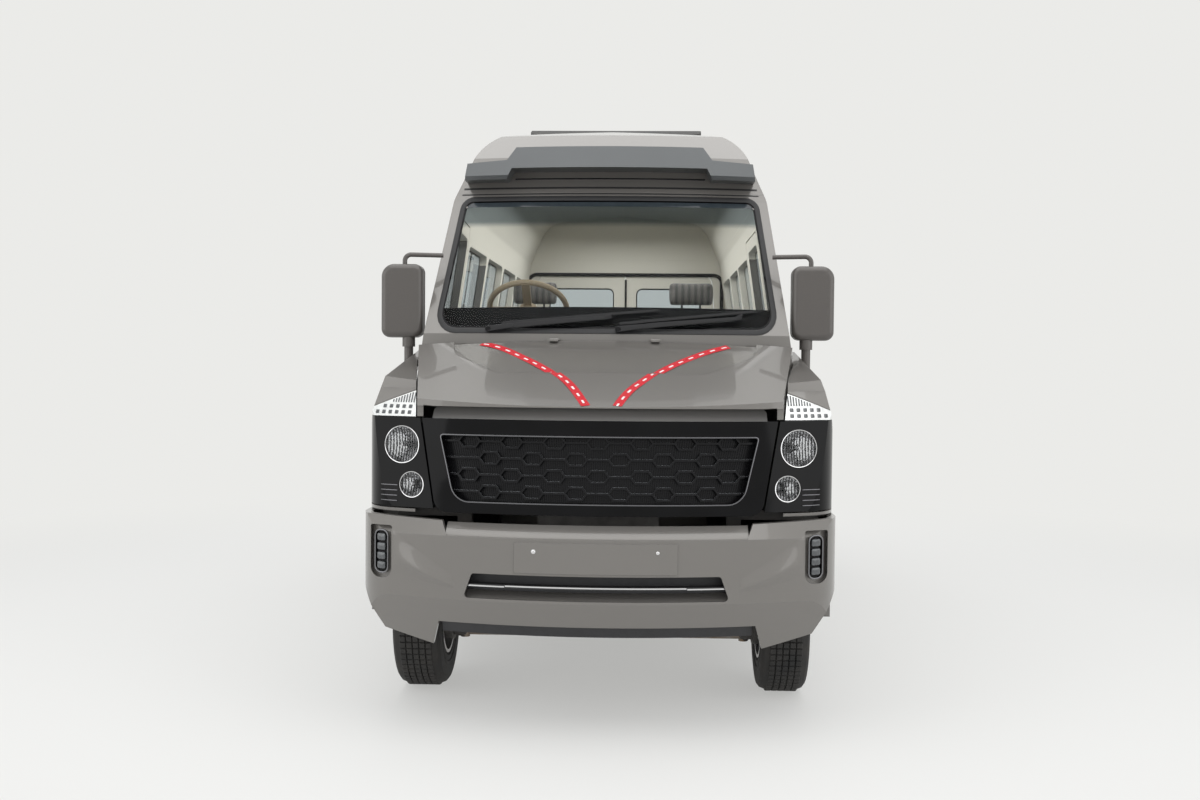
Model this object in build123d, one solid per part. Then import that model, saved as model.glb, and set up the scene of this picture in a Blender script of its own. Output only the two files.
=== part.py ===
from build123d import *
import math
import os

# Luxury van: a semi-bonneted, high-roof minibus with right-hand drive.
# Millimetres, +Z up, the front faces -Y. The origin is on the ground at the middle of the van's box.
# A station is a distance behind the front bumper's skin; the plate pad stands pad_rise in front of it.

# ---- whole van ----
overall_length = 5600.0
mirror_reach = 1061.0
front_axle_station = 900.0
wheelbase = 3350.0
shut_gap = 6.0
seat_gap = 0.3

# ---- wheels ----
tyre_radius = 350.0
bead_radius = 203.0
front_tyre_width = 215.0
rear_tyre_width = 195.0
tyre_outer_x = 920.0
twin_spacing = 225.0
tyre_shoulder = 38.0
rim_wall = 14.0
rim_disc_thickness = 14.0
hub_radius = 75.0
hub_bore_radius = 32.5
stub_radius = 32.0
rim_hole_radius = 24.0
rim_hole_circle = 128.0
rim_hole_count = 8
rim_edge_inset = 7.0
tyre_bead_share = 0.04
kingpin_x = 660.0
arch_radius = 430.0
housing_radius = 440.0
rear_housing_radius = 425.0
housing_wall = 12.0
housing_inner_x = 485.0
rear_housing_inner_x = 470.0

# ---- cabin shell ----
skirt_z = 400.0
belt_z = 1250.0
side_x = 962.0
eaves_x = 808.0
eaves_z = 2300.0
roof_edge_x = 655.0
roof_edge_z = 2665.0
roof_crown_z = 2722.0
eaves_round = 130.0
roof_round = 260.0
cab_back_station = 1975.0
cab_taper = 0.056
cowl_station = 850.0
screen_foot_z = 1627.0
screen_head_station = 1282.0
screen_head_z = 2290.0
brow_station = 1345.0
brow_z = 2400.0
dome_foot_station = 1400.0
dome_foot_z = 2520.0
dome_mid_station = 1560.0
dome_mid_z = 2655.0
dome_top_station = 1850.0
screen_radius = 4000.0
rear_round = 140.0
rear_lean = 60.0
rear_frame_depth = 150.0
wall = 45.0
glass_thickness = 6.0

# ---- nose ----
nose_radius = 2300.0
nose_half = 985.0
nose_corner = 220.0
bumper_back_station = 470.0
bumper_top_z = 868.0
bumper_mid_top_z = 800.0
bumper_low_z = 445.0
bumper_corner_low_z = 340.0
bumper_skin = 32.0
nose_setback = 118.0
nose_low_z = 890.0
garnish_low_z = 1262.0
bonnet_front_station = 142.0
bonnet_front_z = 1318.0
bonnet_rear_station = 826.0
bonnet_rear_z = 1607.0
bonnet_front_half = 733.0
bonnet_rear_half = 850.0
bonnet_crown_radius = 10300.0
bonnet_dome_half = 900.0
bonnet_skin = 26.0
fender_skin = 30.0
fender_back_station = 1058.0
fender_back_half = 930.0
nose_lean_station = 158.0
fender_brow_station = 285.0
fender_brow_z = 1383.0
fender_front_z = 1335.0
fender_rear_station = 1100.0
fender_rear_z = 1565.0
fender_rear_x = 880.0
fender_shoulder_x = 957.0
fender_waist_z = 1190.0
fender_draw_station = 650.0
bonnet_flange = 110.0
bonnet_lip = 5.0
scoop_front_half = 440.0
scoop_front_station = 470.0
scoop_rear_half = 665.0
scoop_side_station = 690.0
scoop_flare = 30.0
scoop_round = 90.0
scoop_depth = 11.0
grille_low_half = 669.0
grille_high_half = 736.0
grille_inner_low_half = 586.0
grille_inner_high_half = 653.0
grille_inner_low_z = 927.0
grille_inner_high_z = 1195.0
grille_low_z = 880.0
grille_corner = 60.0
grille_depth = 60.0
lattice_rows = 4
lattice_row_cells = 7
lattice_pitch = 178.0
lattice_row_pitch = 68.5
lattice_top_row_z = 1171.0
lattice_cell_half = 49.0
lattice_cell_rise = 28.0
lattice_cell_slant = 20.0
lattice_bar = 8.0
lattice_back = 46.0
grille_sink = 26.0
lamp_low_inner_x = 675.0
lamp_high_inner_x = 742.0
lamp_high_z = 1388.0
lamp_depth = 95.0
lamp_floor = 20.0
lamp_sink = 8.0
large_lamp_x = 825.0
large_lamp_z = 1150.0
large_lamp_radius = 80.0
small_lamp_x = 777.0
small_lamp_z = 986.0
small_lamp_radius = 56.0
signal_low_z = 1267.0
lamp_back_station = 430.0
garnish_high_z = 1310.0
garnish_half = 690.0
garnish_round = 20.0
rear_arch_radius = 415.0
bumper_low_station = 95.0
bumper_chin_station = 45.0
bumper_intake_low_z = 545.0
bumper_crease_z = 800.0
bumper_top_station = 48.0
bumper_chin_half = 640.0
bumper_foot_x = 880.0
bumper_side_z = 575.0
bumper_step_x = 600.0
bumper_step_run = 25.0
bumper_step_drop = 12.0
bumper_foot_flare = 30.0
bumper_foot_rise = 55.0
intake_low_half = 530.0
intake_high_half = 495.0
intake_low_z = 556.0
intake_high_z = 655.0
intake_round = 14.0
pad_half = 323.0
pad_low_z = 665.0
pad_high_z = 786.0
pad_rise = 6.0
pad_screw_x = 245.0
pad_screw_z = 752.0
pad_screw_radius = 3.2
intake_depth = 74.0
intake_wall = 8.0
shelf_rise = 26.0
recess_inner_x = 838.0
recess_outer_x = 937.0
recess_low_z = 612.0
recess_high_z = 826.0
recess_round = 40.0
recess_depth = 20.0
grid_sink = 60.0
grid_strip_sink = 12.0
grid_strip_low_z = 600.0
grid_strip_high_z = 612.0
tray_half = 630.0
tray_low_z = 395.0
tray_high_z = 452.0
tray_back_station = 245.0
stay_clear_half = 560.0
grid_depth = 12.0
visor_station = 1190.0
visor_radius = 2600.0
visor_low_z = 2388.0
visor_high_z = 2545.0
visor_wing_z = 2470.0
visor_lip = 18.0
visor_lean = 40.0
visor_half = 712.0
visor_hump_half = 500.0
visor_hump_low_z = 2440.0
visor_facet = 12.0
visor_hump_slant = 45.0
visor_under_slant = 25.0
ac_half = 485.0
ac_front_station = 2250.0
ac_back_station = 3350.0
ac_rise = 108.0
ac_round = 90.0
ac_nose_drop = 50.0
ac_nose_run = 160.0
mirror_inset = 96.0
mirror_front_station = 985.0
mirror_depth = 92.0
mirror_front_round_share = 0.144
mirror_low_round_share = 0.205
mirror_high_round_share = 0.308
mirror_low_z = 1608.0
mirror_high_z = 1954.0
mirror_foot_z = 1565.0
mirror_foot_inset = 50.0
mirror_knob_radius = 30.0
mirror_arm_z = 2000.0
mirror_arm_inner_x = 780.0
mirror_tube_radius = 11.0
mirror_overlap = 20.0
mirror_foot_share = 0.7
mirror_arm_set_back = 45.0
mirror_arm_bend = 30.0

# ---- doors ----
pillar_foot_z = 1697.0
pillar_head_station = 1424.0
roof_low_z = 2330.0
door_round = 60.0
door_frame = 85.0
door_frame_top = 62.0
window_round = 50.0
cab_window_low_z = 1500.0
saloon_window_low_z = 1400.0
saloon_window_high_z = 2130.0
saloon_window_pitch = 900.0
saloon_pillar = 70.0
rear_pillar = 190.0
rear_door_high_half = 700.0
rear_window_inner_x = 90.0
rear_window_outer_x = 655.0
rear_window_lean = 45.0
rear_window_low_z = 1400.0
rear_window_high_z = 2100.0
screen_low_half = 786.0
screen_low_z = 1648.0
screen_high_half = 712.0
screen_high_z = 2268.0
screen_low_round = 95.0
screen_high_round = 45.0
cab_door_front = 1085.0
cab_door_back = 1960.0
door_bottom_z = 462.0
door_top_z = 2215.0
passenger_door_front = 1995.0
passenger_door_back = 2745.0
rear_door_half = 770.0
rear_door_bottom_z = 560.0
rear_door_top_z = 2215.0
rear_door_top_round = 90.0

# ---- running gear ----
hub_depth = 60.0
hub_nose = 40.0
kingpin_overhang = 8.0
front_disc_x = 850.0
rear_disc_x = 712.0
knuckle_low_z = 232.0
knuckle_high_z = 400.0
beam_low_z = 275.0
beam_high_z = 345.0
beam_half = 35.0
kingpin_sleeve_radius = 26.0
kingpin_radius = 14.0
drum_radius = 140.0
drum_width = 36.0
arm_length = 150.0
arm_width = 44.0
arm_thickness = 30.0
arm_pin_radius = 9.0
arm_pin_drop = 30.0
tie_rod_radius = 14.0
rear_tube_radius = 60.0
rear_drum_x = 560.0
rear_drum_width = 70.0
differential_radius = 165.0
differential_half = 85.0
spring_half = 520.0
spring_width = 65.0
spring_thickness = 36.0
spring_eye_z = 455.0
spring_eye_half = 22.0
spring_clamp_half = 55.0
spring_clamp_side = 12.0

# ---- chassis ----
bearer_half = 30.0
cross_member_fractions = (0, 0.195, 0.433, 0.591, 0.829, 1)
outrigger_fractions = (0, 0.1356, 0.347, 0.527, 0.887, 1)
cross_member_first_station = 1560.0
outrigger_first_station = 1450.0
cross_member_half = 40.0
cross_member_inset = 10.0
stay_half = 30.0
stay_inset = 20.0
wing_stay_set_back = 60.0
rail_notch_gap = 5.0
tow_inset = 25.0
tow_bore_radius = 14.0
support_x = 560.0
support_station = 340.0
support_high_z = 1255.0
support_half = 30.0
support_foot = 60.0
support_top_bar = 50.0
support_low_bar = 40.0
step_inner_x = 660.0
step_low_z = 425.0
step_inset = 20.0
step_wall = 15.0
housing_low_z = 440.0
engine_half = 250.0
engine_front_station = 255.0
engine_back_station = 830.0
engine_low_z = 420.0
engine_high_z = 1120.0
engine_mount_half = 60.0
engine_mount_low = 40.0
engine_mount_high = 30.0
gearbox_half = 95.0
gearbox_back_station = 1480.0
gearbox_z = 480.0
shaft_tube_radius = 38.0
shaft_gap = 10.0
tank_front_station = 2900.0
tank_back_station = 3700.0
tank_low_z = 430.0
tank_width = 400.0
tank_round = 60.0
tank_drop = 10.0
exhaust_x = 300.0
exhaust_z = 455.0
exhaust_radius = 26.0
exhaust_elbow_run = 180.0
exhaust_bend_run = 60.0
exhaust_bend_radius = 120.0
hanger_half = 12.0
hanger_thickness = 8.0
silencer_front_station = 2420.0
silencer_length = 560.0
silencer_radius = 78.0
rear_bumper_depth = 64.0
rear_bumper_half = 900.0
rear_tail_length = 90.0
rear_bumper_low_z = 420.0
rear_bumper_high_z = 545.0
rear_bumper_round = 50.0
horn_inset = 20.0
horn_drop = 5.0
rail_x = 400.0
rail_width = 70.0
rail_low_z = 520.0
rail_high_z = 660.0
rail_front_station = 130.0
floor_low_z = 700.0
floor_thickness = 30.0

# ---- interior ----
dash_low_z = 1180.0
dash_mid_z = 1500.0
dash_high_z = 1740.0
dash_back_station = 1200.0
dash_strip_half = 600.0
dash_foot_run = 60.0
dash_top_run = 50.0
dash_cowl_rise = 30.0
dash_round = 40.0
steering_x = -400.0
steering_station = 1370.0
steering_z = 1760.0
steering_tilt = 40.0
steering_radius = 192.0
steering_grip_radius = 14.0
steering_hub_radius = 45.0
steering_drop = 60.0
steering_hub_depth = 50.0
steering_hub_drop = 22.0
steering_shaft_drop = 40.0
spoke_width = 40.0
spoke_thickness = 12.0
spoke_drop = 10.0
spoke_angles = (0, 180, 270)
column_radius = 26.0
column_length = 330.0
column_shaft_radius = 12.0
seat_half = 215.0
seat_leg_z = 320.0
seat_thickness = 140.0
seat_length = 480.0
seat_back_foot = 560.0
seat_back_foot_rise = 130.0
seat_top_run = 690.0
seat_top_rise = 800.0
seat_top_thickness = 90.0
seat_top_slant = 15.0
seat_crook_run = 445.0
seat_round = 40.0
seat_heel_round = 60.0
leg_outer = 170.0
leg_inner = 130.0
leg_front_run = 60.0
leg_back_run = 430.0
leg_bar = 25.0
cab_seat_lift = 110.0
cab_seat_station = 1440.0
cab_seat_x = 430.0
saloon_seat_front_station = 2830.0
saloon_seat_xs = (-598.0, -158.0, 585.0)
first_pair_lead = 750.0
saloon_rows = 3
saloon_row_share = 3.3
wiper_pivot_z = 1648.0
wiper_rise = 62.0
wiper_blade_height = 22.0
wiper_spindle_radius = 13.0
wiper_arm_half = 8.0
wiper_arm_foot = 12.0
wiper_foot_side = 16.0
wiper_foot_rise = 18.0
wiper_arm_thickness = 12.0
wiper_rubber = 14.0
wiper_clip = 30.0
wiper_clip_rise = 40.0
wiper_spans = ((-540.0, 40.0, -480.0, 250.0), (60.0, 640.0, 60.0, 700.0))

# ---- hinges and lamps ----
hinge_radius = 10.0
hinge_pin_radius = 4.0
hinge_half = 12.0
hinge_stand_off = 12.0
hinge_seat = 8.0
hinge_leaf = 40.0
hinge_back_leaf = 22.0
passenger_hinge_lead = 3.0
rear_hinge_leaf = 45.0
rear_hinge_back_leaf = 30.0
cab_hinge_zs = (900.0, 1210.0)
passenger_hinge_zs = (650.0, 1200.0)
rear_hinge_zs = (700.0, 1200.0)
bonnet_hinge_x = 250.0
bonnet_hinge_station = 846.0
bonnet_hinge_z = 1600.0
bonnet_arm_width = 40.0
bonnet_arm_reach = 30.0
bonnet_arm_radius = 8.0
bonnet_pin_width = 45.0
bonnet_post_width = 12.0
bonnet_post_depth = 20.0
tail_lamp_rise = 8.0
tail_lamp_low_z = 950.0
tail_lamp_high_z = 1380.0
tail_lamp_inner_x = 800.0
day_lamp_inner_x = 857.0
day_lamp_outer_x = 913.0
day_lamp_low_z = 635.0
day_lamp_high_z = 804.0
day_lamp_sink = 10.0
day_lamp_round = 26.0

support_low_z = nose_low_z + shut_gap / 2 - seat_gap
front_y = pad_rise - overall_length / 2
body_length = overall_length - pad_rise
floor_top_z = floor_low_z + floor_thickness
rear_face_station = body_length - rear_bumper_depth
rear_top_station = rear_face_station - rear_lean
rear_frame_station = rear_face_station - rear_frame_depth
rail_back_station = rear_face_station - rear_tail_length
exhaust_back_station = rear_top_station
tail_lamp_front_station = rear_face_station - rear_tail_length
ac_top_z = roof_crown_z + ac_rise
last_member_station = rail_back_station - rear_tail_length
member_run = last_member_station - cross_member_first_station
cross_member_stations = [cross_member_first_station + member_run * part for part in cross_member_fractions]
outrigger_run = last_member_station - shut_gap - outrigger_first_station
outrigger_stations = [outrigger_first_station + outrigger_run * part for part in outrigger_fractions]
saloon_seat_pitch = (rear_frame_station - saloon_seat_front_station) / saloon_row_share
saloon_seat_stations = [saloon_seat_front_station + row * saloon_seat_pitch for row in range(saloon_rows)]
rear_axle_station = front_axle_station + wheelbase
skin_high_z = 3000.0
skin_low_z = 100.0
half_room = 1500.0

os.makedirs("parts", exist_ok=True)


# ---- drawing helpers ----
def y_at(station):
    return front_y + station


def outline(points, rounds=None):
    """Closed flat face through points, with a radius at the corners whose numbers are in rounds."""
    face = make_face(Polyline(*points, close=True)).face()
    for number, radius in (rounds or {}).items():
        corner = Vector(*points[number])
        nearest = min(face.vertices(), key=lambda v: (Vector(*tuple(v)) - corner).length)
        face = face.fillet_2d(radius, [nearest])
    return face


def side_face(points, rounds=None):
    """Face in the side view, from (station, height) corners."""
    return outline([(0, y_at(s), z) for s, z in points], rounds)


def front_face(points, rounds=None):
    """Face in the front view, from (x, height) corners."""
    return outline([(x, 0, z) for x, z in points], rounds)


def plan_face(points, rounds=None):
    """Face in the plan view, from (x, station) corners."""
    return outline([(x, y_at(s), 0) for x, s in points], rounds)


def across(face, low_x, high_x):
    return extrude(face.translate((low_x, 0, 0)), amount=high_x - low_x, dir=(1, 0, 0))


def along(face, low_station, high_station):
    placed = face.translate((0, y_at(low_station), 0))
    return extrude(placed, amount=high_station - low_station, dir=(0, 1, 0))


def upright(face, low_z, high_z):
    return extrude(face.translate((0, 0, low_z)), amount=high_z - low_z, dir=(0, 0, 1))


def block(low_x, high_x, low_station, high_station, low_z, high_z):
    size = (high_x - low_x, high_station - low_station, high_z - low_z)
    middle = ((low_x + high_x) / 2, y_at((low_station + high_station) / 2), (low_z + high_z) / 2)
    return Pos(*middle) * Box(*size)


def rod_x(low_x, high_x, station, z, radius):
    middle = ((low_x + high_x) / 2, y_at(station), z)
    return Pos(*middle) * Rot(0, 90, 0) * Cylinder(radius, high_x - low_x)


def rod_y(x, low_station, high_station, z, radius):
    middle = (x, y_at((low_station + high_station) / 2), z)
    return Pos(*middle) * Rot(90, 0, 0) * Cylinder(radius, high_station - low_station)


def rod_z(x, station, low_z, high_z, radius):
    return Pos(x, y_at(station), (low_z + high_z) / 2) * Cylinder(radius, high_z - low_z)


def mirrored(shape):
    return mirror(shape, about=Plane.YZ)


def both_sides(shape):
    return shape + mirrored(shape)


def turned_front(points, rounds, centre_station):
    """Solid turned about an upright axis, from a side outline that ends at that axis."""
    face = side_face(points, rounds)
    return revolve(face, axis=Axis((0, y_at(centre_station), 0), (0, 0, 1)))


def save(shape, node):
    solids = shape.solids()
    export_step(Compound(children=list(solids)), "parts/" + node + ".step")


# ---- cabin ----
def cabin(inset):
    """The closed body of cab and saloon, pulled in by inset on every face but the bottom."""
    section = front_face(
        [
            (-half_room, skin_low_z),
            (side_x, skin_low_z),
            (side_x, belt_z),
            (eaves_x, eaves_z),
            (roof_edge_x, roof_edge_z),
            (0, roof_crown_z),
            (-half_room, roof_crown_z),
        ],
        {3: eaves_round, 4: roof_round},
    )
    section = offset(section, amount=-inset, kind=Kind.INTERSECTION) if inset else section
    section = section.face()
    long_run = rear_face_station - cab_back_station
    short_run = cab_back_station - cowl_station + screen_radius / 10
    cab_half = extrude(
        section.translate((0, y_at(cab_back_station), 0)),
        amount=short_run,
        dir=(-cab_taper, -1, 0),
    )
    saloon_half = along(section, cab_back_station, cab_back_station + long_run)
    half = cab_half + saloon_half
    whole = half & mirrored(half)
    centre = cowl_station + screen_radius
    front = turned_front(
        [
            (centre, skin_low_z),
            (cowl_station + inset, skin_low_z),
            (cowl_station + inset, screen_foot_z),
            (screen_head_station + inset, screen_head_z),
            (brow_station + inset, brow_z),
            (dome_foot_station + inset, dome_foot_z),
            (dome_mid_station + inset, dome_mid_z - inset),
            (dome_top_station, roof_crown_z - inset),
            (centre, roof_crown_z - inset),
        ],
        None,
        centre,
    )
    back_station = rear_face_station - inset
    back = side_face(
        [
            (0, skin_low_z),
            (back_station, skin_low_z),
            (back_station, belt_z),
            (rear_top_station - inset, roof_edge_z - inset),
            (rear_top_station - inset, skin_high_z),
            (0, skin_high_z),
        ]
    )
    plan = plan_face(
        [(-half_room, 0), (half_room, 0), (side_x - inset, back_station), (inset - side_x, back_station)],
        {2: rear_round - inset, 3: rear_round - inset} if inset < rear_round else None,
    )
    return whole & front & across(back, -half_room, half_room) & upright(plan, skin_low_z, skin_high_z)


def nose(inset):
    """The closed body of the front wings and lamps, pulled in by inset on every face but the bottom."""
    centre = nose_setback + nose_radius
    front = turned_front(
        [
            (centre, skin_low_z),
            (nose_setback + inset, skin_low_z),
            (nose_setback + inset, nose_low_z),
            (nose_lean_station + inset, garnish_low_z),
            (fender_brow_station + inset, fender_brow_z),
            (fender_brow_station + inset, skin_high_z),
            (centre, skin_high_z),
        ],
        None,
        centre,
    )
    top = side_face(
        [
            (0, skin_low_z),
            (fender_rear_station, skin_low_z),
            (fender_rear_station, fender_rear_z - inset),
            (fender_brow_station, fender_brow_z - inset),
            (0, fender_front_z - inset),
        ]
    )
    half = [
        (nose_half - inset, skin_low_z),
        (nose_half - inset, fender_waist_z),
        (fender_shoulder_x - inset, fender_brow_z),
        (fender_rear_x - inset, fender_rear_z),
        (bonnet_rear_half - inset, skin_high_z),
    ]
    section = front_face(half + [(-x, z) for x, z in reversed(half)])
    plan = arc_plan(
        nose_setback + inset,
        nose_radius - inset,
        nose_half - inset,
        nose_corner - inset,
        [(nose_half - inset, fender_draw_station), (fender_back_half - inset, fender_rear_station)],
    )
    body = front & across(top, -half_room, half_room) & along(section, 0, fender_rear_station)
    return body & upright(plan, skin_low_z, skin_high_z)


def arc_plan(front_station, radius, half, corner, sides):
    """Plan with an arc front, rounded front corners, and side corners (x, station) to the back."""
    sag = radius - math.sqrt(radius**2 - half**2)
    edge = y_at(front_station + sag)
    front = ThreePointArc((-half, edge, 0), (0, y_at(front_station), 0), (half, edge, 0))
    right = [(half, edge, 0)] + [(x, y_at(s), 0) for x, s in sides]
    left = [(-x, y, z) for x, y, z in reversed(right)]
    face = make_face([front, Polyline(*right, *left)]).face()
    for x in (-half, half):
        spot = Vector(x, edge, 0)
        nearest = min(face.vertices(), key=lambda v: (Vector(*tuple(v)) - spot).length)
        face = face.fillet_2d(corner, [nearest])
    return face


def bonnet_body(inset):
    """The bonnet's dome, drawn in front view and run back along its slope."""
    rise = bonnet_rear_z - bonnet_front_z
    run = bonnet_rear_station - bonnet_front_station
    low = bonnet_front_z - bonnet_flange
    high = bonnet_front_z - inset
    edge_z = high - bonnet_dome_half**2 / (2 * bonnet_crown_radius)
    right_end = (bonnet_dome_half, 0, edge_z)
    left_end = (-bonnet_dome_half, 0, edge_z)
    arc = ThreePointArc(left_end, (0, 0, high), right_end)
    foot_z = low - inset
    base = Polyline(right_end, (bonnet_dome_half, 0, foot_z), (-bonnet_dome_half, 0, foot_z), left_end)
    section = make_face([arc, base]).face()
    section = section.translate((0, y_at(bonnet_front_station - run / 2), -rise / 2))
    return extrude(section, amount=2 * math.hypot(run, rise), dir=(0, run, rise))


def bonnet_plan(half_change, skirt_low, skirt_high):
    """Upright column over the bonnet, between its front arc, its rear arc and its two side lines."""
    sides = plan_face(
        [
            (-bonnet_front_half - half_change, bonnet_front_station),
            (bonnet_front_half + half_change, bonnet_front_station),
            (bonnet_rear_half + half_change, bonnet_rear_station),
            (-bonnet_rear_half - half_change, bonnet_rear_station),
        ]
    )
    return upright(sides, skirt_low, skirt_high)


def bonnet():
    """Bonnet panel with its side flanges and its scoop; its front edge follows the nose."""
    dome = bonnet_body(0) - bonnet_body(bonnet_skin)
    column = bonnet_plan(0, skirt_z, skin_high_z)
    inner = bonnet_plan(-bonnet_skin, skirt_z, skin_high_z)
    nose_disc = rod_z(0, bonnet_front_station + nose_radius, skirt_z, skin_high_z, nose_radius)
    panel = dome & column & nose_disc
    rim = (bonnet_body(0) & (column - inner)) & nose_disc
    panel = panel + rim
    scoop = plan_face(
        [
            (-scoop_front_half, scoop_front_station),
            (scoop_front_half, scoop_front_station),
            (scoop_rear_half, scoop_side_station),
            (scoop_rear_half + scoop_flare, bonnet_rear_station + wall),
            (-scoop_rear_half - scoop_flare, bonnet_rear_station + wall),
            (-scoop_rear_half, scoop_side_station),
        ],
        {0: scoop_round, 1: scoop_round, 2: scoop_round, 5: scoop_round},
    )
    panel = panel - (upright(scoop, skirt_z, skin_high_z) - bonnet_body(scoop_depth))
    return panel - block(-half_room, half_room, 0, fender_brow_station, skirt_z, bonnet_front_z - bonnet_lip)


def grille_face():
    """Front outline of the grille surround, with its lower corners rounded."""
    return front_face(
        [
            (-grille_low_half, grille_low_z),
            (grille_low_half, grille_low_z),
            (grille_high_half, garnish_low_z),
            (-grille_high_half, garnish_low_z),
        ],
        {0: grille_corner, 1: grille_corner},
    )


def grille_inner_face():
    """Front outline of the opening inside the grille surround."""
    return front_face(
        [
            (-grille_inner_low_half, grille_inner_low_z),
            (grille_inner_low_half, grille_inner_low_z),
            (grille_inner_high_half, grille_inner_high_z),
            (-grille_inner_high_half, grille_inner_high_z),
        ],
        {0: grille_corner, 1: grille_corner, 2: grille_corner / 4, 3: grille_corner / 4},
    )


def lamp_outline(change):
    """Front outline of one headlamp unit, from the grille to the wing's side."""
    face = front_face(
        [
            (lamp_low_inner_x, nose_low_z),
            (half_room, nose_low_z),
            (half_room, lamp_high_z),
            (lamp_high_inner_x, lamp_high_z),
            (lamp_high_inner_x, garnish_low_z),
        ]
    )
    return offset(face, amount=change, kind=Kind.INTERSECTION).face() if change else face


def front_zone(face, depth_station):
    return along(face, 0, depth_station)


# ---- shared bodies ----
steering_place = Pos(steering_x, y_at(steering_station), steering_z) * Rot(-steering_tilt, 0, 0)
cabin_outer = cabin(0)
cabin_inner = cabin(wall)
cabin_glass = cabin(glass_thickness)
cabin_room = cabin(wall + seat_gap)
cabin_door_room = cabin(wall + shut_gap)
dash_room = cabin(wall + shut_gap + 2)
nose_outer = nose(0)
nose_skin = nose(fender_skin)
nose_lamp = nose(lamp_depth)
nose_grille = nose(grille_depth)
above_skirt = block(-half_room, half_room, 0, body_length, skirt_z, skin_high_z)
front_arches = both_sides(rod_x(housing_inner_x, half_room, front_axle_station, tyre_radius, arch_radius))
rear_arches = both_sides(
    rod_x(rear_housing_inner_x, half_room, rear_axle_station, tyre_radius, rear_arch_radius)
)
housing_space = both_sides(
    rod_x(
        housing_inner_x - housing_wall - seat_gap,
        half_room,
        front_axle_station,
        tyre_radius,
        housing_radius + housing_wall + seat_gap,
    )
)
rear_housing_space = both_sides(
    rod_x(
        rear_housing_inner_x - housing_wall - seat_gap,
        half_room,
        rear_axle_station,
        tyre_radius,
        rear_housing_radius + housing_wall + seat_gap,
    )
)
shell = (cabin_outer - cabin_inner) & above_skirt
shell = shell - front_arches - rear_arches
skin = cabin_outer - cabin_glass


def grown(face, change):
    return offset(face, amount=change, kind=Kind.INTERSECTION).face()


cab_door_face = side_face(
    [
        (cab_door_front, door_bottom_z),
        (cab_door_front, pillar_foot_z),
        (pillar_head_station, door_top_z),
        (cab_door_back, door_top_z),
        (cab_door_back, door_bottom_z),
    ],
    {3: door_round, 4: door_round},
)
cab_window_face = side_face(
    [
        (cab_door_front + door_frame, cab_window_low_z),
        (cab_door_front + door_frame, pillar_foot_z + door_frame / 3),
        (pillar_head_station + door_frame / 2, door_top_z - door_frame_top),
        (cab_door_back - door_frame_top, door_top_z - door_frame_top),
        (cab_door_back - door_frame_top, cab_window_low_z),
    ],
    {0: window_round, 1: window_round, 2: window_round / 2, 3: window_round, 4: window_round},
)
passenger_door_face = side_face(
    [
        (passenger_door_front, door_bottom_z),
        (passenger_door_back, door_bottom_z),
        (passenger_door_back, door_top_z),
        (passenger_door_front, door_top_z),
    ],
    {0: door_round, 1: door_round, 2: door_round, 3: door_round},
)
passenger_window_face = side_face(
    [
        (passenger_door_front + door_frame, saloon_window_low_z),
        (passenger_door_back - door_frame, saloon_window_low_z),
        (passenger_door_back - door_frame, door_top_z - door_frame_top),
        (passenger_door_front + door_frame, door_top_z - door_frame_top),
    ],
    {0: window_round, 1: window_round, 2: window_round, 3: window_round},
)
rear_door_face = front_face(
    [
        (shut_gap / 2, rear_door_bottom_z),
        (rear_door_half, rear_door_bottom_z),
        (rear_door_half, belt_z),
        (rear_door_high_half, rear_door_top_z),
        (shut_gap / 2, rear_door_top_z),
    ],
    {1: door_round, 3: rear_door_top_round},
)
rear_window_face = front_face(
    [
        (rear_window_inner_x, rear_window_low_z),
        (rear_window_outer_x, rear_window_low_z),
        (rear_window_outer_x - rear_window_lean, rear_window_high_z),
        (rear_window_inner_x, rear_window_high_z),
    ],
    {0: window_round, 1: window_round, 2: window_round, 3: window_round},
)
windscreen_face = front_face(
    [
        (-screen_low_half, screen_low_z),
        (screen_low_half, screen_low_z),
        (screen_high_half, screen_high_z),
        (-screen_high_half, screen_high_z),
    ],
    {0: screen_low_round, 1: screen_low_round, 2: screen_high_round, 3: screen_high_round},
)


def saloon_window_faces(first_station):
    """Window outlines of one saloon side, from first_station back to the rear pillar, all the same length."""
    last_station = rear_face_station - rear_pillar
    count = round((last_station - first_station) / saloon_window_pitch)
    pitch = (last_station - first_station) / count
    faces = []
    for number in range(count):
        low_station = first_station + number * pitch
        high_station = low_station + pitch - saloon_pillar
        faces.append(
            side_face(
                [
                    (low_station, saloon_window_low_z),
                    (high_station, saloon_window_low_z),
                    (high_station, saloon_window_high_z),
                    (low_station, saloon_window_high_z),
                ],
                {0: window_round, 1: window_round, 2: window_round, 3: window_round},
            )
        )
    return faces


def left_side(face):
    return across(face, 0, half_room)


# ---- body panels ----
def cab_front():
    """Bulkhead, cowl and the two windscreen pillars up to the header."""
    region = side_face(
        [
            (0, skin_low_z),
            (cab_door_front - shut_gap, skin_low_z),
            (cab_door_front - shut_gap, pillar_foot_z),
            (pillar_head_station - shut_gap, door_top_z),
            (pillar_head_station - shut_gap, roof_low_z),
            (0, roof_low_z),
        ]
    )
    panel = shell & across(region, -half_room, half_room)
    panel = panel - front_zone(windscreen_face, cab_back_station) - housing_space
    return panel - block(-half_room, half_room, 0, cab_door_front, 0, floor_low_z)


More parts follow.
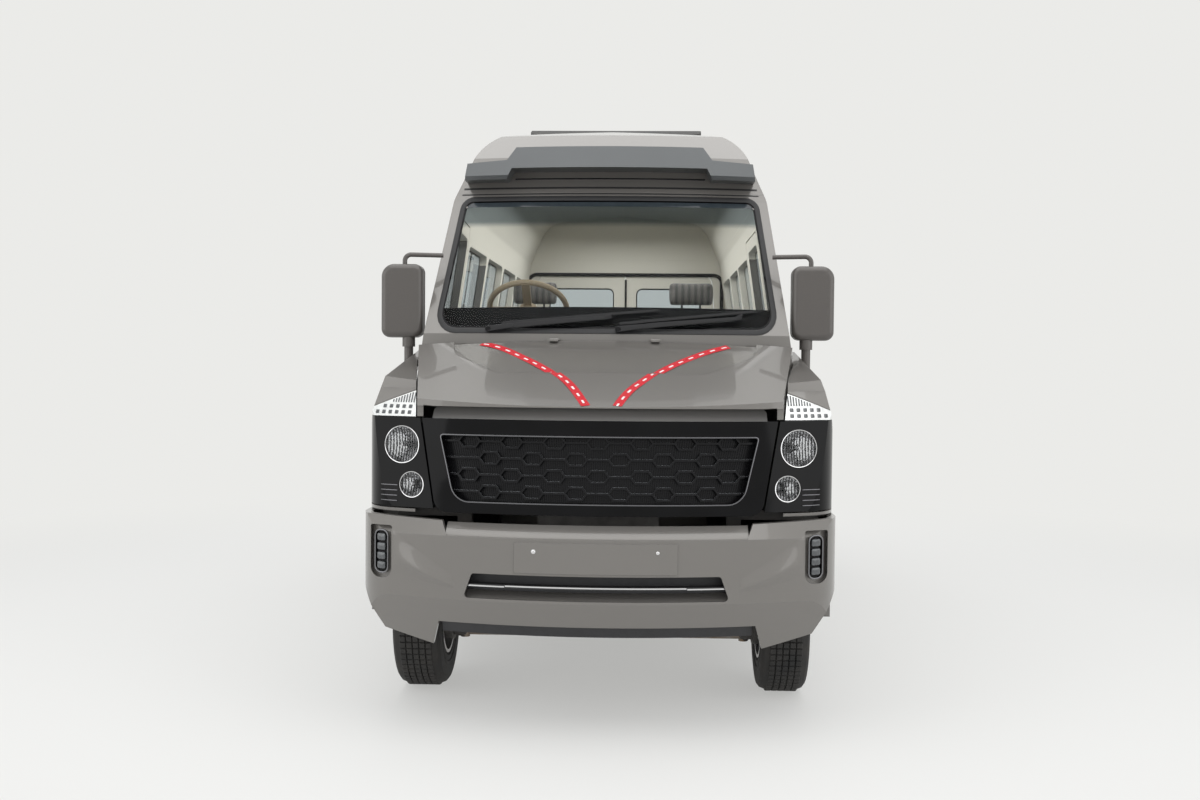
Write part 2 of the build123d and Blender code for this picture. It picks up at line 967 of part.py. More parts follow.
def side_wall(side):
    """One side wall from the windscreen pillar to the rear corner, with its doors and windows cut out."""
    region = side_face(
        [
            (cab_door_front - shut_gap, skirt_z),
            (cab_door_front - shut_gap, pillar_foot_z),
            (pillar_head_station - shut_gap, door_top_z),
            (pillar_head_station - shut_gap, roof_low_z),
            (rear_frame_station, roof_low_z),
            (rear_frame_station, skirt_z),
        ]
    )
    panel = shell & across(region, eaves_x / 2, half_room) - housing_space
    panel = panel - left_side(grown(cab_door_face, shut_gap))
    first = cab_door_back + saloon_pillar
    if side > 0:
        panel = panel - left_side(grown(passenger_door_face, shut_gap))
        first = passenger_door_back + saloon_pillar
    for face in saloon_window_faces(first):
        panel = panel - left_side(face)
    return panel if side > 0 else mirrored(panel)


def side_windows():
    glass = []
    for side, first in ((1, passenger_door_back + saloon_pillar), (-1, cab_door_back + saloon_pillar)):
        for face in saloon_window_faces(first):
            pane = skin & left_side(grown(face, -seat_gap))
            glass.append(pane if side > 0 else mirrored(pane))
    return Compound(children=[solid for pane in glass for solid in pane.solids()])


def roof():
    return shell & block(-half_room, half_room, 0, body_length, roof_low_z, skin_high_z)


def rear_frame():
    """Rear end around the two doors."""
    panel = shell & block(-half_room, half_room, rear_frame_station, body_length, skirt_z, roof_low_z)
    doorway = grown(rear_door_face, shut_gap)
    doorway = along(doorway, rear_frame_station, body_length)
    notch_half = rail_width / 2 + rail_notch_gap
    notch_high_z = rear_bumper_high_z + rail_notch_gap
    notch = block(rail_x - notch_half, rail_x + notch_half, 0, body_length, 0, notch_high_z)
    return panel - doorway - mirrored(doorway) - both_sides(notch)


def windscreen():
    return skin & front_zone(grown(windscreen_face, -seat_gap), cab_back_station)


# ---- doors ----
def hinged_panel(door_face, window_face):
    panel = shell & left_side(door_face)
    return panel - left_side(window_face)


def pane(window_face):
    return skin & left_side(grown(window_face, -seat_gap))


def rear_door(side):
    panel = shell & along(rear_door_face, rear_frame_station, body_length)
    panel = panel - along(rear_window_face, rear_frame_station, body_length)
    return panel if side > 0 else mirrored(panel)


def rear_pane(side):
    panel = skin & along(grown(rear_window_face, -seat_gap), rear_frame_station, body_length)
    return panel if side > 0 else mirrored(panel)


# ---- nose panels ----
def fender():
    """Left front wing: outer skin from the lamp to the door, clear of bonnet, lamp, bumper and wheel."""
    panel = (nose_outer - nose_skin) & above_skirt
    panel = panel & block(0, half_room, 0, fender_back_station, skirt_z, skin_high_z)
    panel = panel - bonnet_plan(shut_gap, skirt_z, skin_high_z)
    panel = panel - front_zone(lamp_outline(shut_gap / 2), lamp_back_station)
    panel = panel - block(0, half_room, 0, bumper_back_station + shut_gap, 0, bumper_top_z + shut_gap)
    panel = panel - block(0, lamp_high_inner_x, 0, lamp_back_station, 0, garnish_low_z + shut_gap)
    return panel - front_arches - cabin(-seat_gap)


def lamp_unit():
    """Whole left lamp unit between grille, bonnet and wing, before it is split into its pieces."""
    unit = (nose_outer - nose_lamp) & front_zone(lamp_outline(-shut_gap / 2), lamp_back_station - shut_gap)
    return unit - bonnet_plan(shut_gap, garnish_low_z, skin_high_z)


def lamp_wells(change):
    """The two round holes of the left lamp unit, grown by change."""
    large = rod_y(large_lamp_x, 0, lamp_back_station, large_lamp_z, large_lamp_radius + change)
    small = rod_y(small_lamp_x, 0, lamp_back_station, small_lamp_z, small_lamp_radius + change)
    return large, small


def headlamp():
    """Housing below the signal lens, with a deep round well for each of its two lamps."""
    housing = lamp_unit() & block(0, half_room, 0, lamp_back_station, skin_low_z, signal_low_z - seat_gap)
    for well in lamp_wells(0):
        housing = housing - (well - nose(lamp_depth - lamp_floor))
    return housing


def round_lamps():
    """The two round lamps, each with its lens just behind the housing's face."""
    room = nose(lamp_sink) - nose(lamp_depth - lamp_floor - seat_gap)
    return [room & well for well in lamp_wells(-seat_gap)]


def signal_lens():
    return lamp_unit() & block(0, half_room, 0, lamp_back_station, signal_low_z, skin_high_z)


def grille_surround():
    ring = (nose_outer - nose_grille) & front_zone(grille_face(), lamp_back_station)
    return ring - front_zone(grille_inner_face(), lamp_back_station)


def lattice_cell(x, z, change):
    """Six-cornered cell outline with its points at the two sides, grown by change."""
    half = lattice_cell_half + change
    shoulder = lattice_cell_half - lattice_cell_slant + change / 2
    low = z - lattice_cell_rise - change
    high = z + lattice_cell_rise + change
    right = [(x + shoulder, low), (x + half, z), (x + shoulder, high)]
    left = [(x - shoulder, high), (x - half, z), (x - shoulder, low)]
    return front_face(right + left)


def grille_lattice():
    """Fine back plate with bars and six-cornered cells in relief; every second row is half a pitch over."""
    bars = []
    holes = []
    for row in range(lattice_rows):
        z = lattice_top_row_z - row * lattice_row_pitch
        bars.append(
            front_face(
                [
                    (-grille_inner_high_half, z - lattice_bar / 2),
                    (grille_inner_high_half, z - lattice_bar / 2),
                    (grille_inner_high_half, z + lattice_bar / 2),
                    (-grille_inner_high_half, z + lattice_bar / 2),
                ]
            )
        )
        count = lattice_row_cells - row % 2
        for number in range(count):
            x = (number - (count - 1) / 2) * lattice_pitch
            bars.append(lattice_cell(x, z, 0))
            holes.append(lattice_cell(x, z, -lattice_bar))
    opening = grown(grille_inner_face(), -seat_gap)
    zone = front_zone(opening, lamp_back_station)
    plate = (nose(lattice_back) - nose(grille_depth)) & zone
    relief = [along(face, 0, lamp_back_station) for face in bars]
    cores = [along(face, 0, lamp_back_station) for face in holes]
    relief = relief[0].fuse(*relief[1:]).cut(*cores)
    relief = relief & ((nose(grille_sink) - nose(lattice_back)) & zone)
    return plate + relief


def garnish():
    face = front_face(
        [
            (-garnish_half, garnish_low_z + seat_gap),
            (garnish_half, garnish_low_z + seat_gap),
            (garnish_half, garnish_high_z),
            (-garnish_half, garnish_high_z),
        ],
        {2: garnish_round, 3: garnish_round},
    )
    return (nose_outer - nose_grille) & front_zone(face, lamp_back_station)


def bumper_body(inset):
    profile = [
        (nose_radius, bumper_corner_low_z),
        (bumper_low_station + inset, bumper_corner_low_z),
        (bumper_chin_station + inset, bumper_low_z),
        (inset, bumper_intake_low_z),
        (inset, bumper_crease_z),
        (bumper_top_station + inset, bumper_top_z),
        (nose_radius, bumper_top_z),
    ]
    plan = arc_plan(
        inset,
        nose_radius - inset,
        nose_half - inset,
        nose_corner - inset,
        [(nose_half - inset, bumper_back_station)],
    )
    return turned_front(profile, None, nose_radius) & upright(plan, skin_low_z, skin_high_z)


def bumper_front_outline():
    """Front outline of the bumper: high ends, a lower middle under the grille and a lifted chin."""
    half = [
        (bumper_chin_half, bumper_low_z),
        (bumper_chin_half + bumper_foot_flare, bumper_corner_low_z),
        (bumper_foot_x, bumper_corner_low_z + bumper_foot_rise),
        (nose_half, bumper_side_z),
        (nose_half, bumper_top_z),
        (bumper_step_x + bumper_step_run, bumper_top_z - bumper_step_drop),
        (bumper_step_x, bumper_mid_top_z),
    ]
    return front_face(half + [(-x, z) for x, z in reversed(half)])


def intake_face():
    return front_face(
        [
            (-intake_low_half, intake_low_z),
            (intake_low_half, intake_low_z),
            (intake_high_half, intake_high_z),
            (-intake_high_half, intake_high_z),
        ],
        {0: intake_round, 1: intake_round, 2: intake_round, 3: intake_round},
    )


def recess_face():
    """Front outline of the upright pocket around the left day lamp."""
    return front_face(
        [
            (recess_inner_x, recess_low_z),
            (recess_outer_x, recess_low_z),
            (recess_outer_x, recess_high_z),
            (recess_inner_x, recess_high_z),
        ],
        {0: recess_round, 1: recess_round, 2: recess_round / 4, 3: recess_round / 4},
    )


def front_bumper():
    cover = bumper_body(0) - bumper_body(bumper_skin)
    cover = cover & front_zone(bumper_front_outline(), bumper_back_station)
    recess = front_zone(recess_face(), bumper_back_station) - bumper_body(recess_depth)
    lamp = front_zone(day_lamp_face(), bumper_back_station)
    cover = cover - both_sides(recess) - both_sides(lamp)
    pad_block = block(-pad_half, pad_half, -pad_rise, bumper_back_station, pad_low_z, pad_high_z)
    cover = cover + ((bumper_body(-pad_rise) & pad_block) - bumper_body(bumper_skin))
    room = bumper_body(bumper_skin - 1) - bumper_body(intake_depth)
    cover = cover + (room & front_zone(grown(intake_face(), intake_wall), bumper_back_station))
    cover = cover - front_zone(intake_face(), bumper_back_station)
    shelf = turned_front(
        [
            (bumper_skin / 2, intake_low_z),
            (intake_depth, intake_low_z),
            (intake_depth, intake_low_z + shelf_rise),
        ],
        None,
        nose_radius,
    )
    cover = cover + (shelf & front_zone(intake_face(), bumper_back_station))
    for x in (-pad_screw_x, pad_screw_x):
        cover = cover - rod_y(x, -2 * pad_rise, bumper_back_station, pad_screw_z, pad_screw_radius)
    return cover


def bumper_grid():
    """Dark intake grid with its cross strip, and the flat tray behind the bumper's lower edge."""
    opening = front_zone(grown(intake_face(), -seat_gap), bumper_back_station)
    above_shelf = block(-half_room, half_room, 0, bumper_back_station, intake_low_z + shelf_rise, skin_high_z)
    plate = (bumper_body(grid_sink) - bumper_body(grid_sink + grid_depth)) & opening & above_shelf
    level = block(-half_room, half_room, 0, bumper_back_station, grid_strip_low_z, grid_strip_high_z)
    strip = (bumper_body(grid_strip_sink) - bumper_body(grid_sink)) & opening & level
    tray = block(-tray_half, tray_half, 0, tray_back_station, tray_low_z, tray_high_z)
    return plate + strip, tray & bumper_body(bumper_skin + seat_gap)


def roof_visor():
    """Moulded band over the windscreen: low wings and a raised middle hump."""
    centre = visor_station + visor_radius
    profile = [
        (centre, visor_low_z),
        (visor_station + visor_lip, visor_low_z),
        (visor_station, visor_low_z + visor_lip),
        (visor_station + visor_lean, visor_high_z),
        (centre, visor_high_z),
    ]
    half = [
        (visor_half, visor_low_z),
        (visor_half - visor_facet, visor_wing_z),
        (visor_hump_half, visor_wing_z + visor_facet),
        (visor_hump_half - visor_hump_slant, visor_high_z),
    ]
    face = front_face(half + [(-x, z) for x, z in reversed(half)])
    under = front_face(
        [
            (-visor_hump_half, visor_low_z),
            (visor_hump_half, visor_low_z),
            (visor_hump_half - visor_under_slant, visor_hump_low_z),
            (visor_under_slant - visor_hump_half, visor_hump_low_z),
        ]
    )
    zone = front_zone(face, dome_mid_station) - front_zone(under, dome_mid_station)
    return (turned_front(profile, None, centre) & zone) - cabin(-seat_gap)


def roof_ac_unit():
    """Low cooling unit on the roof, sloped at its front and back."""
    plan = plan_face(
        [
            (-ac_half, ac_front_station),
            (ac_half, ac_front_station),
            (ac_half, ac_back_station),
            (-ac_half, ac_back_station),
        ],
        {0: ac_round, 1: ac_round, 2: ac_round, 3: ac_round},
    )
    case = upright(plan, roof_edge_z, ac_top_z)
    side = side_face(
        [
            (ac_front_station, roof_edge_z),
            (ac_front_station, ac_top_z - ac_nose_drop),
            (ac_front_station + ac_nose_run, ac_top_z),
            (ac_back_station - ac_nose_run, ac_top_z),
            (ac_back_station, ac_top_z - ac_nose_drop),
            (ac_back_station, roof_edge_z),
        ]
    )
    return (case & across(side, -half_room, half_room)) - cabin(-seat_gap)


def mirror_assembly():
    """Left mirror: upright housing, lower foot on the wing and a bent upper tube to the pillar."""
    mirror_inner_x = side_x - mirror_inset
    mirror_width = mirror_reach - mirror_inner_x
    low_round = mirror_width * mirror_low_round_share
    high_round = mirror_width * mirror_high_round_share
    face = front_face(
        [
            (mirror_inner_x, mirror_low_z),
            (mirror_reach, mirror_low_z),
            (mirror_reach, mirror_high_z),
            (mirror_inner_x, mirror_high_z),
        ],
        {0: low_round, 1: low_round, 2: high_round, 3: low_round},
    )
    housing = along(face, mirror_front_station, mirror_front_station + mirror_depth)
    front_edges = housing.faces().sort_by(Axis.Y)[0].edges()
    housing = fillet(front_edges, mirror_width * mirror_front_round_share)
    mirror_knob_x = nose_half - mirror_foot_inset
    knob_station = mirror_front_station + mirror_depth / 2
    knob_high_z = mirror_low_z + mirror_overlap
    knob = rod_z(mirror_knob_x, knob_station, mirror_foot_z, knob_high_z, mirror_knob_radius)
    foot = rod_z(mirror_knob_x, knob_station, belt_z, mirror_foot_z, mirror_knob_radius * mirror_foot_share)
    foot = foot - nose(-seat_gap)
    path = FilletPolyline(
        (mirror_knob_x + mirror_overlap, y_at(knob_station), mirror_high_z - mirror_overlap),
        (mirror_knob_x + mirror_overlap, y_at(knob_station), mirror_arm_z),
        (mirror_arm_inner_x, y_at(knob_station + mirror_arm_set_back), mirror_arm_z),
        radius=[mirror_arm_bend],
    )
    tube = sweep((Plane(origin=path @ 0, z_dir=path % 0) * Circle(mirror_tube_radius)).face(), path=path)
    return housing + knob + foot + (tube - cabin(-seat_gap))


# ---- wheels ----
def tyre(outer_x, width):
    """Tyre ring with rounded shoulders, on the left side."""
    inner_x = outer_x - width
    bead = width * tyre_bead_share
    profile = outline(
        [
            (inner_x + bead, 0, bead_radius),
            (outer_x - bead, 0, bead_radius),
            (outer_x, 0, (bead_radius + tyre_radius) / 2),
            (outer_x - bead, 0, tyre_radius),
            (inner_x + bead, 0, tyre_radius),
            (inner_x, 0, (bead_radius + tyre_radius) / 2),
        ],
        {3: tyre_shoulder, 4: tyre_shoulder},
    )
    return revolve(profile, axis=Axis((0, 0, 0), (1, 0, 0)))


def at_wheel(shape, station):
    return shape.translate((0, y_at(station), tyre_radius))


def rim_holes(disc_x):
    tools = []
    for number in range(rim_hole_count):
        angle = 2 * math.pi * number / rim_hole_count
        y = rim_hole_circle * math.cos(angle)
        z = rim_hole_circle * math.sin(angle)
        hole = Pos(disc_x, y, z) * Rot(0, 90, 0) * Cylinder(rim_hole_radius, 8 * rim_disc_thickness)
        tools.append(hole)
    return tools


def rim(low_x, high_x, disc_x):
    """Steel rim: barrel, disc with round holes and a hub with a plain bore."""
    barrel_radius = bead_radius - seat_gap
    barrel = outline(
        [
            (low_x, 0, barrel_radius - rim_wall),
            (high_x, 0, barrel_radius - rim_wall),
            (high_x, 0, barrel_radius),
            (low_x, 0, barrel_radius),
        ]
    )
    disc = outline(
        [
            (disc_x, 0, hub_bore_radius),
            (disc_x + rim_disc_thickness, 0, hub_bore_radius),
            (disc_x + rim_disc_thickness, 0, barrel_radius - rim_wall / 2),
            (disc_x, 0, barrel_radius - rim_wall / 2),
        ]
    )
    hub = outline(
        [
            (disc_x - hub_depth, 0, hub_bore_radius),
            (disc_x + hub_nose, 0, hub_bore_radius),
            (disc_x + hub_nose, 0, hub_radius),
            (disc_x - hub_depth, 0, hub_radius),
        ]
    )
    turned = [revolve(face, axis=Axis((0, 0, 0), (1, 0, 0))) for face in (barrel, disc, hub)]
    body = turned[0] + turned[1] + turned[2]
    for hole in rim_holes(disc_x):
        body = body - hole
    return body


def knuckle():
    """Left steering knuckle: kingpin sleeve, stub axle, brake backing drum and steering arm."""
    sleeve = rod_z(kingpin_x, front_axle_station, knuckle_low_z, knuckle_high_z, kingpin_sleeve_radius)
    gap = block(
        0,
        kingpin_x + kingpin_sleeve_radius + seat_gap,
        front_axle_station - half_room,
        front_axle_station + half_room,
        beam_low_z - seat_gap,
        beam_high_z + seat_gap,
    )
    sleeve = sleeve - gap
    drum_x = kingpin_x + kingpin_sleeve_radius + seat_gap
    drum = rod_x(drum_x, drum_x + drum_width, front_axle_station, tyre_radius, drum_radius)
    bridge_high = block(
        kingpin_x - kingpin_sleeve_radius,
        drum_x,
        front_axle_station - kingpin_sleeve_radius,
        front_axle_station + kingpin_sleeve_radius,
        beam_high_z + seat_gap,
        knuckle_high_z,
    )
    bridge_low = block(
        kingpin_x - kingpin_sleeve_radius,
        drum_x,
        front_axle_station - kingpin_sleeve_radius,
        front_axle_station + kingpin_sleeve_radius,
        knuckle_low_z,
        beam_low_z - seat_gap,
    )
    stub = rod_x(drum_x, front_disc_x + hub_nose, front_axle_station, tyre_radius, stub_radius)
    arm = plan_face(
        [
            (kingpin_x - kingpin_sleeve_radius, front_axle_station),
            (kingpin_x + kingpin_sleeve_radius, front_axle_station),
            (kingpin_x + arm_width / 2, front_axle_station + arm_length),
            (kingpin_x - arm_width / 2, front_axle_station + arm_length),
        ]
    )
    arm = upright(arm, knuckle_low_z, knuckle_low_z + arm_thickness)
    arm_station = front_axle_station + arm_length
    arm_high_z = knuckle_low_z + arm_thickness
    pin = rod_z(kingpin_x, arm_station, knuckle_low_z - arm_pin_drop, arm_high_z, arm_pin_radius)
    boss = rod_z(kingpin_x, arm_station, knuckle_low_z, arm_high_z, arm_width / 2)
    body = sleeve + drum + bridge_high + bridge_low + stub + arm + boss + pin
    return body - rod_z(kingpin_x, front_axle_station, 0, 2 * tyre_radius, kingpin_radius + seat_gap)


def front_axle():
    """Forged beam with an upright kingpin at each end."""
    low_station = front_axle_station - beam_half
    high_station = front_axle_station + beam_half
    beam = block(-kingpin_x, kingpin_x, low_station, high_station, beam_low_z, beam_high_z)
    pin_low_z = knuckle_low_z - kingpin_overhang
    pin_high_z = knuckle_high_z + kingpin_overhang
    for x in (-kingpin_x, kingpin_x):
        beam = beam + rod_z(x, front_axle_station, beam_low_z, beam_high_z, kingpin_sleeve_radius)
        beam = beam + rod_z(x, front_axle_station, pin_low_z, pin_high_z, kingpin_radius)
    return beam


def tie_rod():
    station = front_axle_station + arm_length
    high = knuckle_low_z - seat_gap
    rod = rod_x(-kingpin_x, kingpin_x, station, high - arm_width / 2, tie_rod_radius)
    for x in (-kingpin_x, kingpin_x):
        rod = rod + rod_z(x, station, high - arm_width, high, arm_width / 2)
        rod = rod - rod_z(x, station, high - arm_width - 1, high + 1, arm_pin_radius + seat_gap)
    return rod


def rear_axle():
    tube = rod_x(-rear_drum_x, rear_drum_x, rear_axle_station, tyre_radius, rear_tube_radius)
    ball = rod_x(-differential_half, differential_half, rear_axle_station, tyre_radius, differential_radius)
    shaft_end_x = rear_disc_x + hub_nose
    shafts = rod_x(-shaft_end_x, shaft_end_x, rear_axle_station, tyre_radius, stub_radius)
    drum_end_x = rear_drum_x + rear_drum_width
    drum = rod_x(rear_drum_x, drum_end_x, rear_axle_station, tyre_radius, drum_radius)
    return tube + ball + shafts + both_sides(drum)


def leaf_spring(station, low, eye_z):
    """One bow-shaped spring pack with its clamp on the axle at low and its eyes under the rail."""
    face = side_face(
        [
            (station - spring_half, eye_z),
            (station, low),
            (station + spring_half, eye_z),
            (station + spring_half, eye_z + spring_thickness),
            (station, low + spring_thickness),
            (station - spring_half, eye_z + spring_thickness),
        ]
    )
    inner_x = rail_x - spring_width / 2
    outer_x = rail_x + spring_width / 2
    pack = across(face, inner_x, outer_x)
    hung_z = rail_low_z - seat_gap
    for end in (station - spring_half, station + spring_half):
        pack = pack + block(inner_x, outer_x, end - spring_eye_half, end + spring_eye_half, eye_z, hung_z)
    clamp = block(
        inner_x - spring_clamp_side,
        outer_x + spring_clamp_side,
        station - spring_clamp_half,
        station + spring_clamp_half,
        low + seat_gap,
        low + 2 * spring_thickness,
    )
    above_axle = block(0, half_room, 0, body_length, low + seat_gap, skin_high_z)
    return (pack & above_axle) + clamp


def leaf_springs():
    front = leaf_spring(front_axle_station, beam_high_z, spring_eye_z)
    rear = leaf_spring(rear_axle_station, tyre_radius + rear_tube_radius, spring_eye_z)
    return both_sides(front) + both_sides(rear)


def chassis_frame():
    """Two rails with cross members, outriggers under the floor and horns for the bumpers."""
    inner_x = rail_x - rail_width / 2
    outer_x = rail_x + rail_width / 2
    rail = block(inner_x, outer_x, rail_front_station, rail_back_station, rail_low_z, rail_high_z)
    frame = both_sides(rail)
    member_low_z = rail_low_z + cross_member_inset
    member_high_z = rail_high_z - cross_member_inset
    for station in cross_member_stations:
        low_station = station - cross_member_half
        high_station = station + cross_member_half
        frame = frame + block(-rail_x, rail_x, low_station, high_station, member_low_z, member_high_z)
    tow_station = rail_back_station - tow_inset
    frame = frame - both_sides(rod_z(rail_x, tow_station, rail_low_z, rail_high_z, tow_bore_radius))
    for station in outrigger_stations:
        reach = cabin_room if station > passenger_door_back else cabin_door_room
        low_station = station - bearer_half
        high_station = station + bearer_half
        bearer = block(-side_x, side_x, low_station, high_station, rail_high_z, floor_low_z - seat_gap)
        frame = frame + (bearer & reach)
    bumper_room = bumper_body(bumper_skin + seat_gap)
    intake_room = block(-stay_clear_half, stay_clear_half, 0, bumper_back_station, skin_low_z, skin_high_z)
    intake_room = intake_room - bumper_body(intake_depth + seat_gap)
    frame = frame + (bumper_stay(rail_front_station + stay_half, 0) & (bumper_room - intake_room))
    return frame + (bumper_stay(bumper_back_station - wing_stay_set_back, rail_x) & bumper_room)


def bumper_stay(station, inner_x):
    """Pair of cross bars at one station, from inner_x out to the bumper's sides."""
    low_station = station - stay_half
    high_station = station + stay_half
    low_z = rail_low_z + stay_inset
    high_z = rail_high_z - stay_inset
    return both_sides(block(inner_x, nose_half, low_station, high_station, low_z, high_z))


def front_support():
    """Upright frame that carries bonnet lock, lamps, grille and wings on the chassis rails."""
    foot_z = rail_high_z + seat_gap
    low_station = support_station - support_half
    high_station = support_station + support_half
    inner_x = support_x - support_half
    outer_x = support_x + support_half
    top_bar_z = support_high_z - support_top_bar
    low_bar_z = support_low_z - support_low_bar
    foot_x = rail_x - rail_width / 2
    foot = block(foot_x, outer_x, low_station, high_station, foot_z, foot_z + support_foot)
    post = block(inner_x, outer_x, low_station, high_station, foot_z, support_high_z)
    top = block(-nose_half, nose_half, low_station, high_station, top_bar_z, support_high_z)
    top = top & nose(lamp_depth + seat_gap)
    low = block(support_x, nose_half, low_station, high_station, low_bar_z, support_low_z)
    low = both_sides(low) & nose(fender_skin + seat_gap)
    arm = block(inner_x, outer_x, nose_setback, support_station, top_bar_z, support_high_z)
    arms = both_sides(arm) & nose(grille_depth + seat_gap)
    return both_sides(post) + both_sides(foot) + top + low + arms


def floor():
    """Flat floor with an entry step inside the passenger door."""
    panel = block(-side_x, side_x, cowl_station + wall, body_length, floor_low_z, floor_top_z)
    front = passenger_door_front + step_inset
    back = passenger_door_back - step_inset
    well = block(step_inner_x, side_x, front, back, 0, skin_high_z)
    tray = block(step_inner_x, side_x, front, back, step_low_z, floor_top_z)
    tray = tray - block(
        step_inner_x + step_wall,
        half_room,
        front + step_wall,
        back - step_wall,
        step_low_z + step_wall,
        skin_high_z,
    )
    return ((panel - well + tray) & cabin_door_room) - housing_space - rear_housing_space


def wheel_housings():
    def half(station, radius, inner_x):
        drum = rod_x(inner_x - housing_wall, half_room, station, tyre_radius, radius + housing_wall)
        drum = drum - rod_x(inner_x, half_room, station, tyre_radius, radius)
        return drum & block(0, half_room, 0, body_length, housing_low_z, skin_high_z)

    front = half(front_axle_station, housing_radius, housing_inner_x)
    front_room = nose(fender_skin + seat_gap) & block(0, half_room, 0, cowl_station + wall, 0, skin_high_z)
    front = (front & cabin_door_room) + (front & front_room)
    front = front - (block(0, half_room, 0, bumper_back_station + shut_gap, 0, skin_high_z))
    rear = half(rear_axle_station, rear_housing_radius, rear_housing_inner_x) & cabin_room
    return both_sides(front) + both_sides(rear)


def engine():
    """Plain block for the heavy mass of the engine, on one cross mount between the rails."""
    front = engine_front_station
    back = engine_back_station
    body = block(-engine_half, engine_half, front, back, engine_low_z, engine_high_z)
    reach = rail_x - rail_width / 2 - seat_gap
    middle = (front + back) / 2
    low_z = rail_low_z + engine_mount_low
    high_z = rail_high_z - engine_mount_high
    return body + block(-reach, reach, middle - engine_mount_half, middle + engine_mount_half, low_z, high_z)


def drive_shaft():
    low = Vector(0, y_at(gearbox_back_station), gearbox_z)
    high = Vector(0, y_at(rear_axle_station - differential_radius - shaft_gap), tyre_radius)
    line = Line(low, high)
    return sweep((Plane(origin=line @ 0, z_dir=line % 0) * Circle(shaft_tube_radius)).face(), path=line)


def gearbox():
    low_z = gearbox_z - gearbox_half
    high_z = gearbox_z + gearbox_half
    return block(-gearbox_half, gearbox_half, engine_back_station, gearbox_back_station, low_z, high_z)


def fuel_tank():
    face = side_face(
        [
            (tank_front_station, tank_low_z),
            (tank_back_station, tank_low_z),
            (tank_back_station, rail_high_z - tank_drop),
            (tank_front_station, rail_high_z - tank_drop),
        ],
        {0: tank_round, 1: tank_round, 2: tank_round, 3: tank_round},
    )
    rail_side_x = rail_x + rail_width / 2 + seat_gap
    return across(face, -rail_side_x - tank_width, -rail_side_x)


def exhaust():
    elbow_x = engine_half + exhaust_radius
    path = FilletPolyline(
        (elbow_x, y_at(engine_back_station - exhaust_elbow_run), exhaust_z),
        (exhaust_x, y_at(engine_back_station - exhaust_bend_run), exhaust_z),
        (exhaust_x, y_at(exhaust_back_station), exhaust_z),
        radius=[exhaust_bend_radius],
    )
    pipe = sweep((Plane(origin=path @ 0, z_dir=path % 0) * Circle(exhaust_radius)).face(), path=path)
    silencer_back_station = silencer_front_station + silencer_length
    pipe = pipe + rod_y(exhaust_x, silencer_front_station, silencer_back_station, exhaust_z, silencer_radius)
    low_x = exhaust_x - hanger_thickness
    high_x = exhaust_x + hanger_thickness
    high_z = rail_low_z + cross_member_inset - seat_gap
    for station in cross_member_stations:
        pipe = pipe + block(low_x, high_x, station - hanger_half, station + hanger_half, exhaust_z, high_z)
    return pipe


def rear_bumper():
    plan = plan_face(
        [
            (-rear_bumper_half, rear_face_station + seat_gap),
            (-rear_bumper_half, body_length),
            (rear_bumper_half, body_length),
            (rear_bumper_half, rear_face_station + seat_gap),
        ],
        {1: rear_bumper_round, 2: rear_bumper_round},
    )
    bar = upright(plan, rear_bumper_low_z, rear_bumper_high_z)
    horns = both_sides(
        block(
            rail_x - rail_width / 2,
            rail_x + rail_width / 2,
            rail_back_station + seat_gap,
            body_length - horn_inset,
            rear_bumper_low_z + horn_inset,
            rear_bumper_high_z - horn_drop,
        )
    )
    return bar + horns


# ---- interior ----
def dashboard():
    """Dashboard with its column tube; a narrow strip seats it on the bulkhead."""
    face = side_face(
        [
            (cowl_station, dash_low_z),
            (dash_back_station - dash_foot_run, dash_low_z),
            (dash_back_station, dash_mid_z),
            (dash_back_station - dash_top_run, dash_high_z),
            (cowl_station, dash_high_z + dash_cowl_rise),
        ],
        {2: dash_round, 3: dash_round},
    )
    body = across(face, -side_x, side_x) & dash_room
    strip_back = cowl_station + 2 * wall
    strip = block(-dash_strip_half, dash_strip_half, cowl_station, strip_back, dash_low_z, dash_high_z)
    body = body + (strip & cabin_room)
    hung = (Align.CENTER, Align.CENTER, Align.MAX)
    tube = Cylinder(column_radius, column_length, align=hung)
    bore = Cylinder(column_shaft_radius + seat_gap, column_length / 2, align=hung)
    tube = steering_place * (Pos(0, 0, -steering_drop) * (tube - bore))
    return body + tube


def steering_wheel():
    ring = Torus(steering_radius, steering_grip_radius)
    wheel = ring + Pos(0, 0, -steering_hub_drop) * Cylinder(steering_hub_radius, steering_hub_depth)
    from_middle = (Align.MIN, Align.CENTER, Align.CENTER)
    for angle in spoke_angles:
        spoke = Box(steering_radius, spoke_width, spoke_thickness, align=from_middle)
        wheel = wheel + Rot(0, 0, angle) * (Pos(0, 0, -spoke_drop) * spoke)
    shaft = Cylinder(column_shaft_radius, column_length / 3, align=(Align.CENTER, Align.CENTER, Align.MAX))
    return steering_place * (wheel + Pos(0, 0, -steering_shaft_drop) * shaft)


def seat(x, station, lift):
    """Closed soft solid of one seat: cushion, back and headrest."""
    low = floor_top_z + lift + seat_leg_z
    face = side_face(
        [
            (station, low),
            (station + seat_length, low),
            (station + seat_back_foot, low + seat_back_foot_rise),
            (station + seat_top_run, low + seat_top_rise),
            (station + seat_top_run - seat_top_thickness, low + seat_top_rise + seat_top_slant),
            (station + seat_crook_run, low + seat_thickness),
            (station, low + seat_thickness),
        ],
        {0: seat_round, 1: seat_heel_round, 3: seat_round, 4: seat_round, 5: seat_round / 2, 6: seat_round},
    )
    return across(face, x - seat_half, x + seat_half)


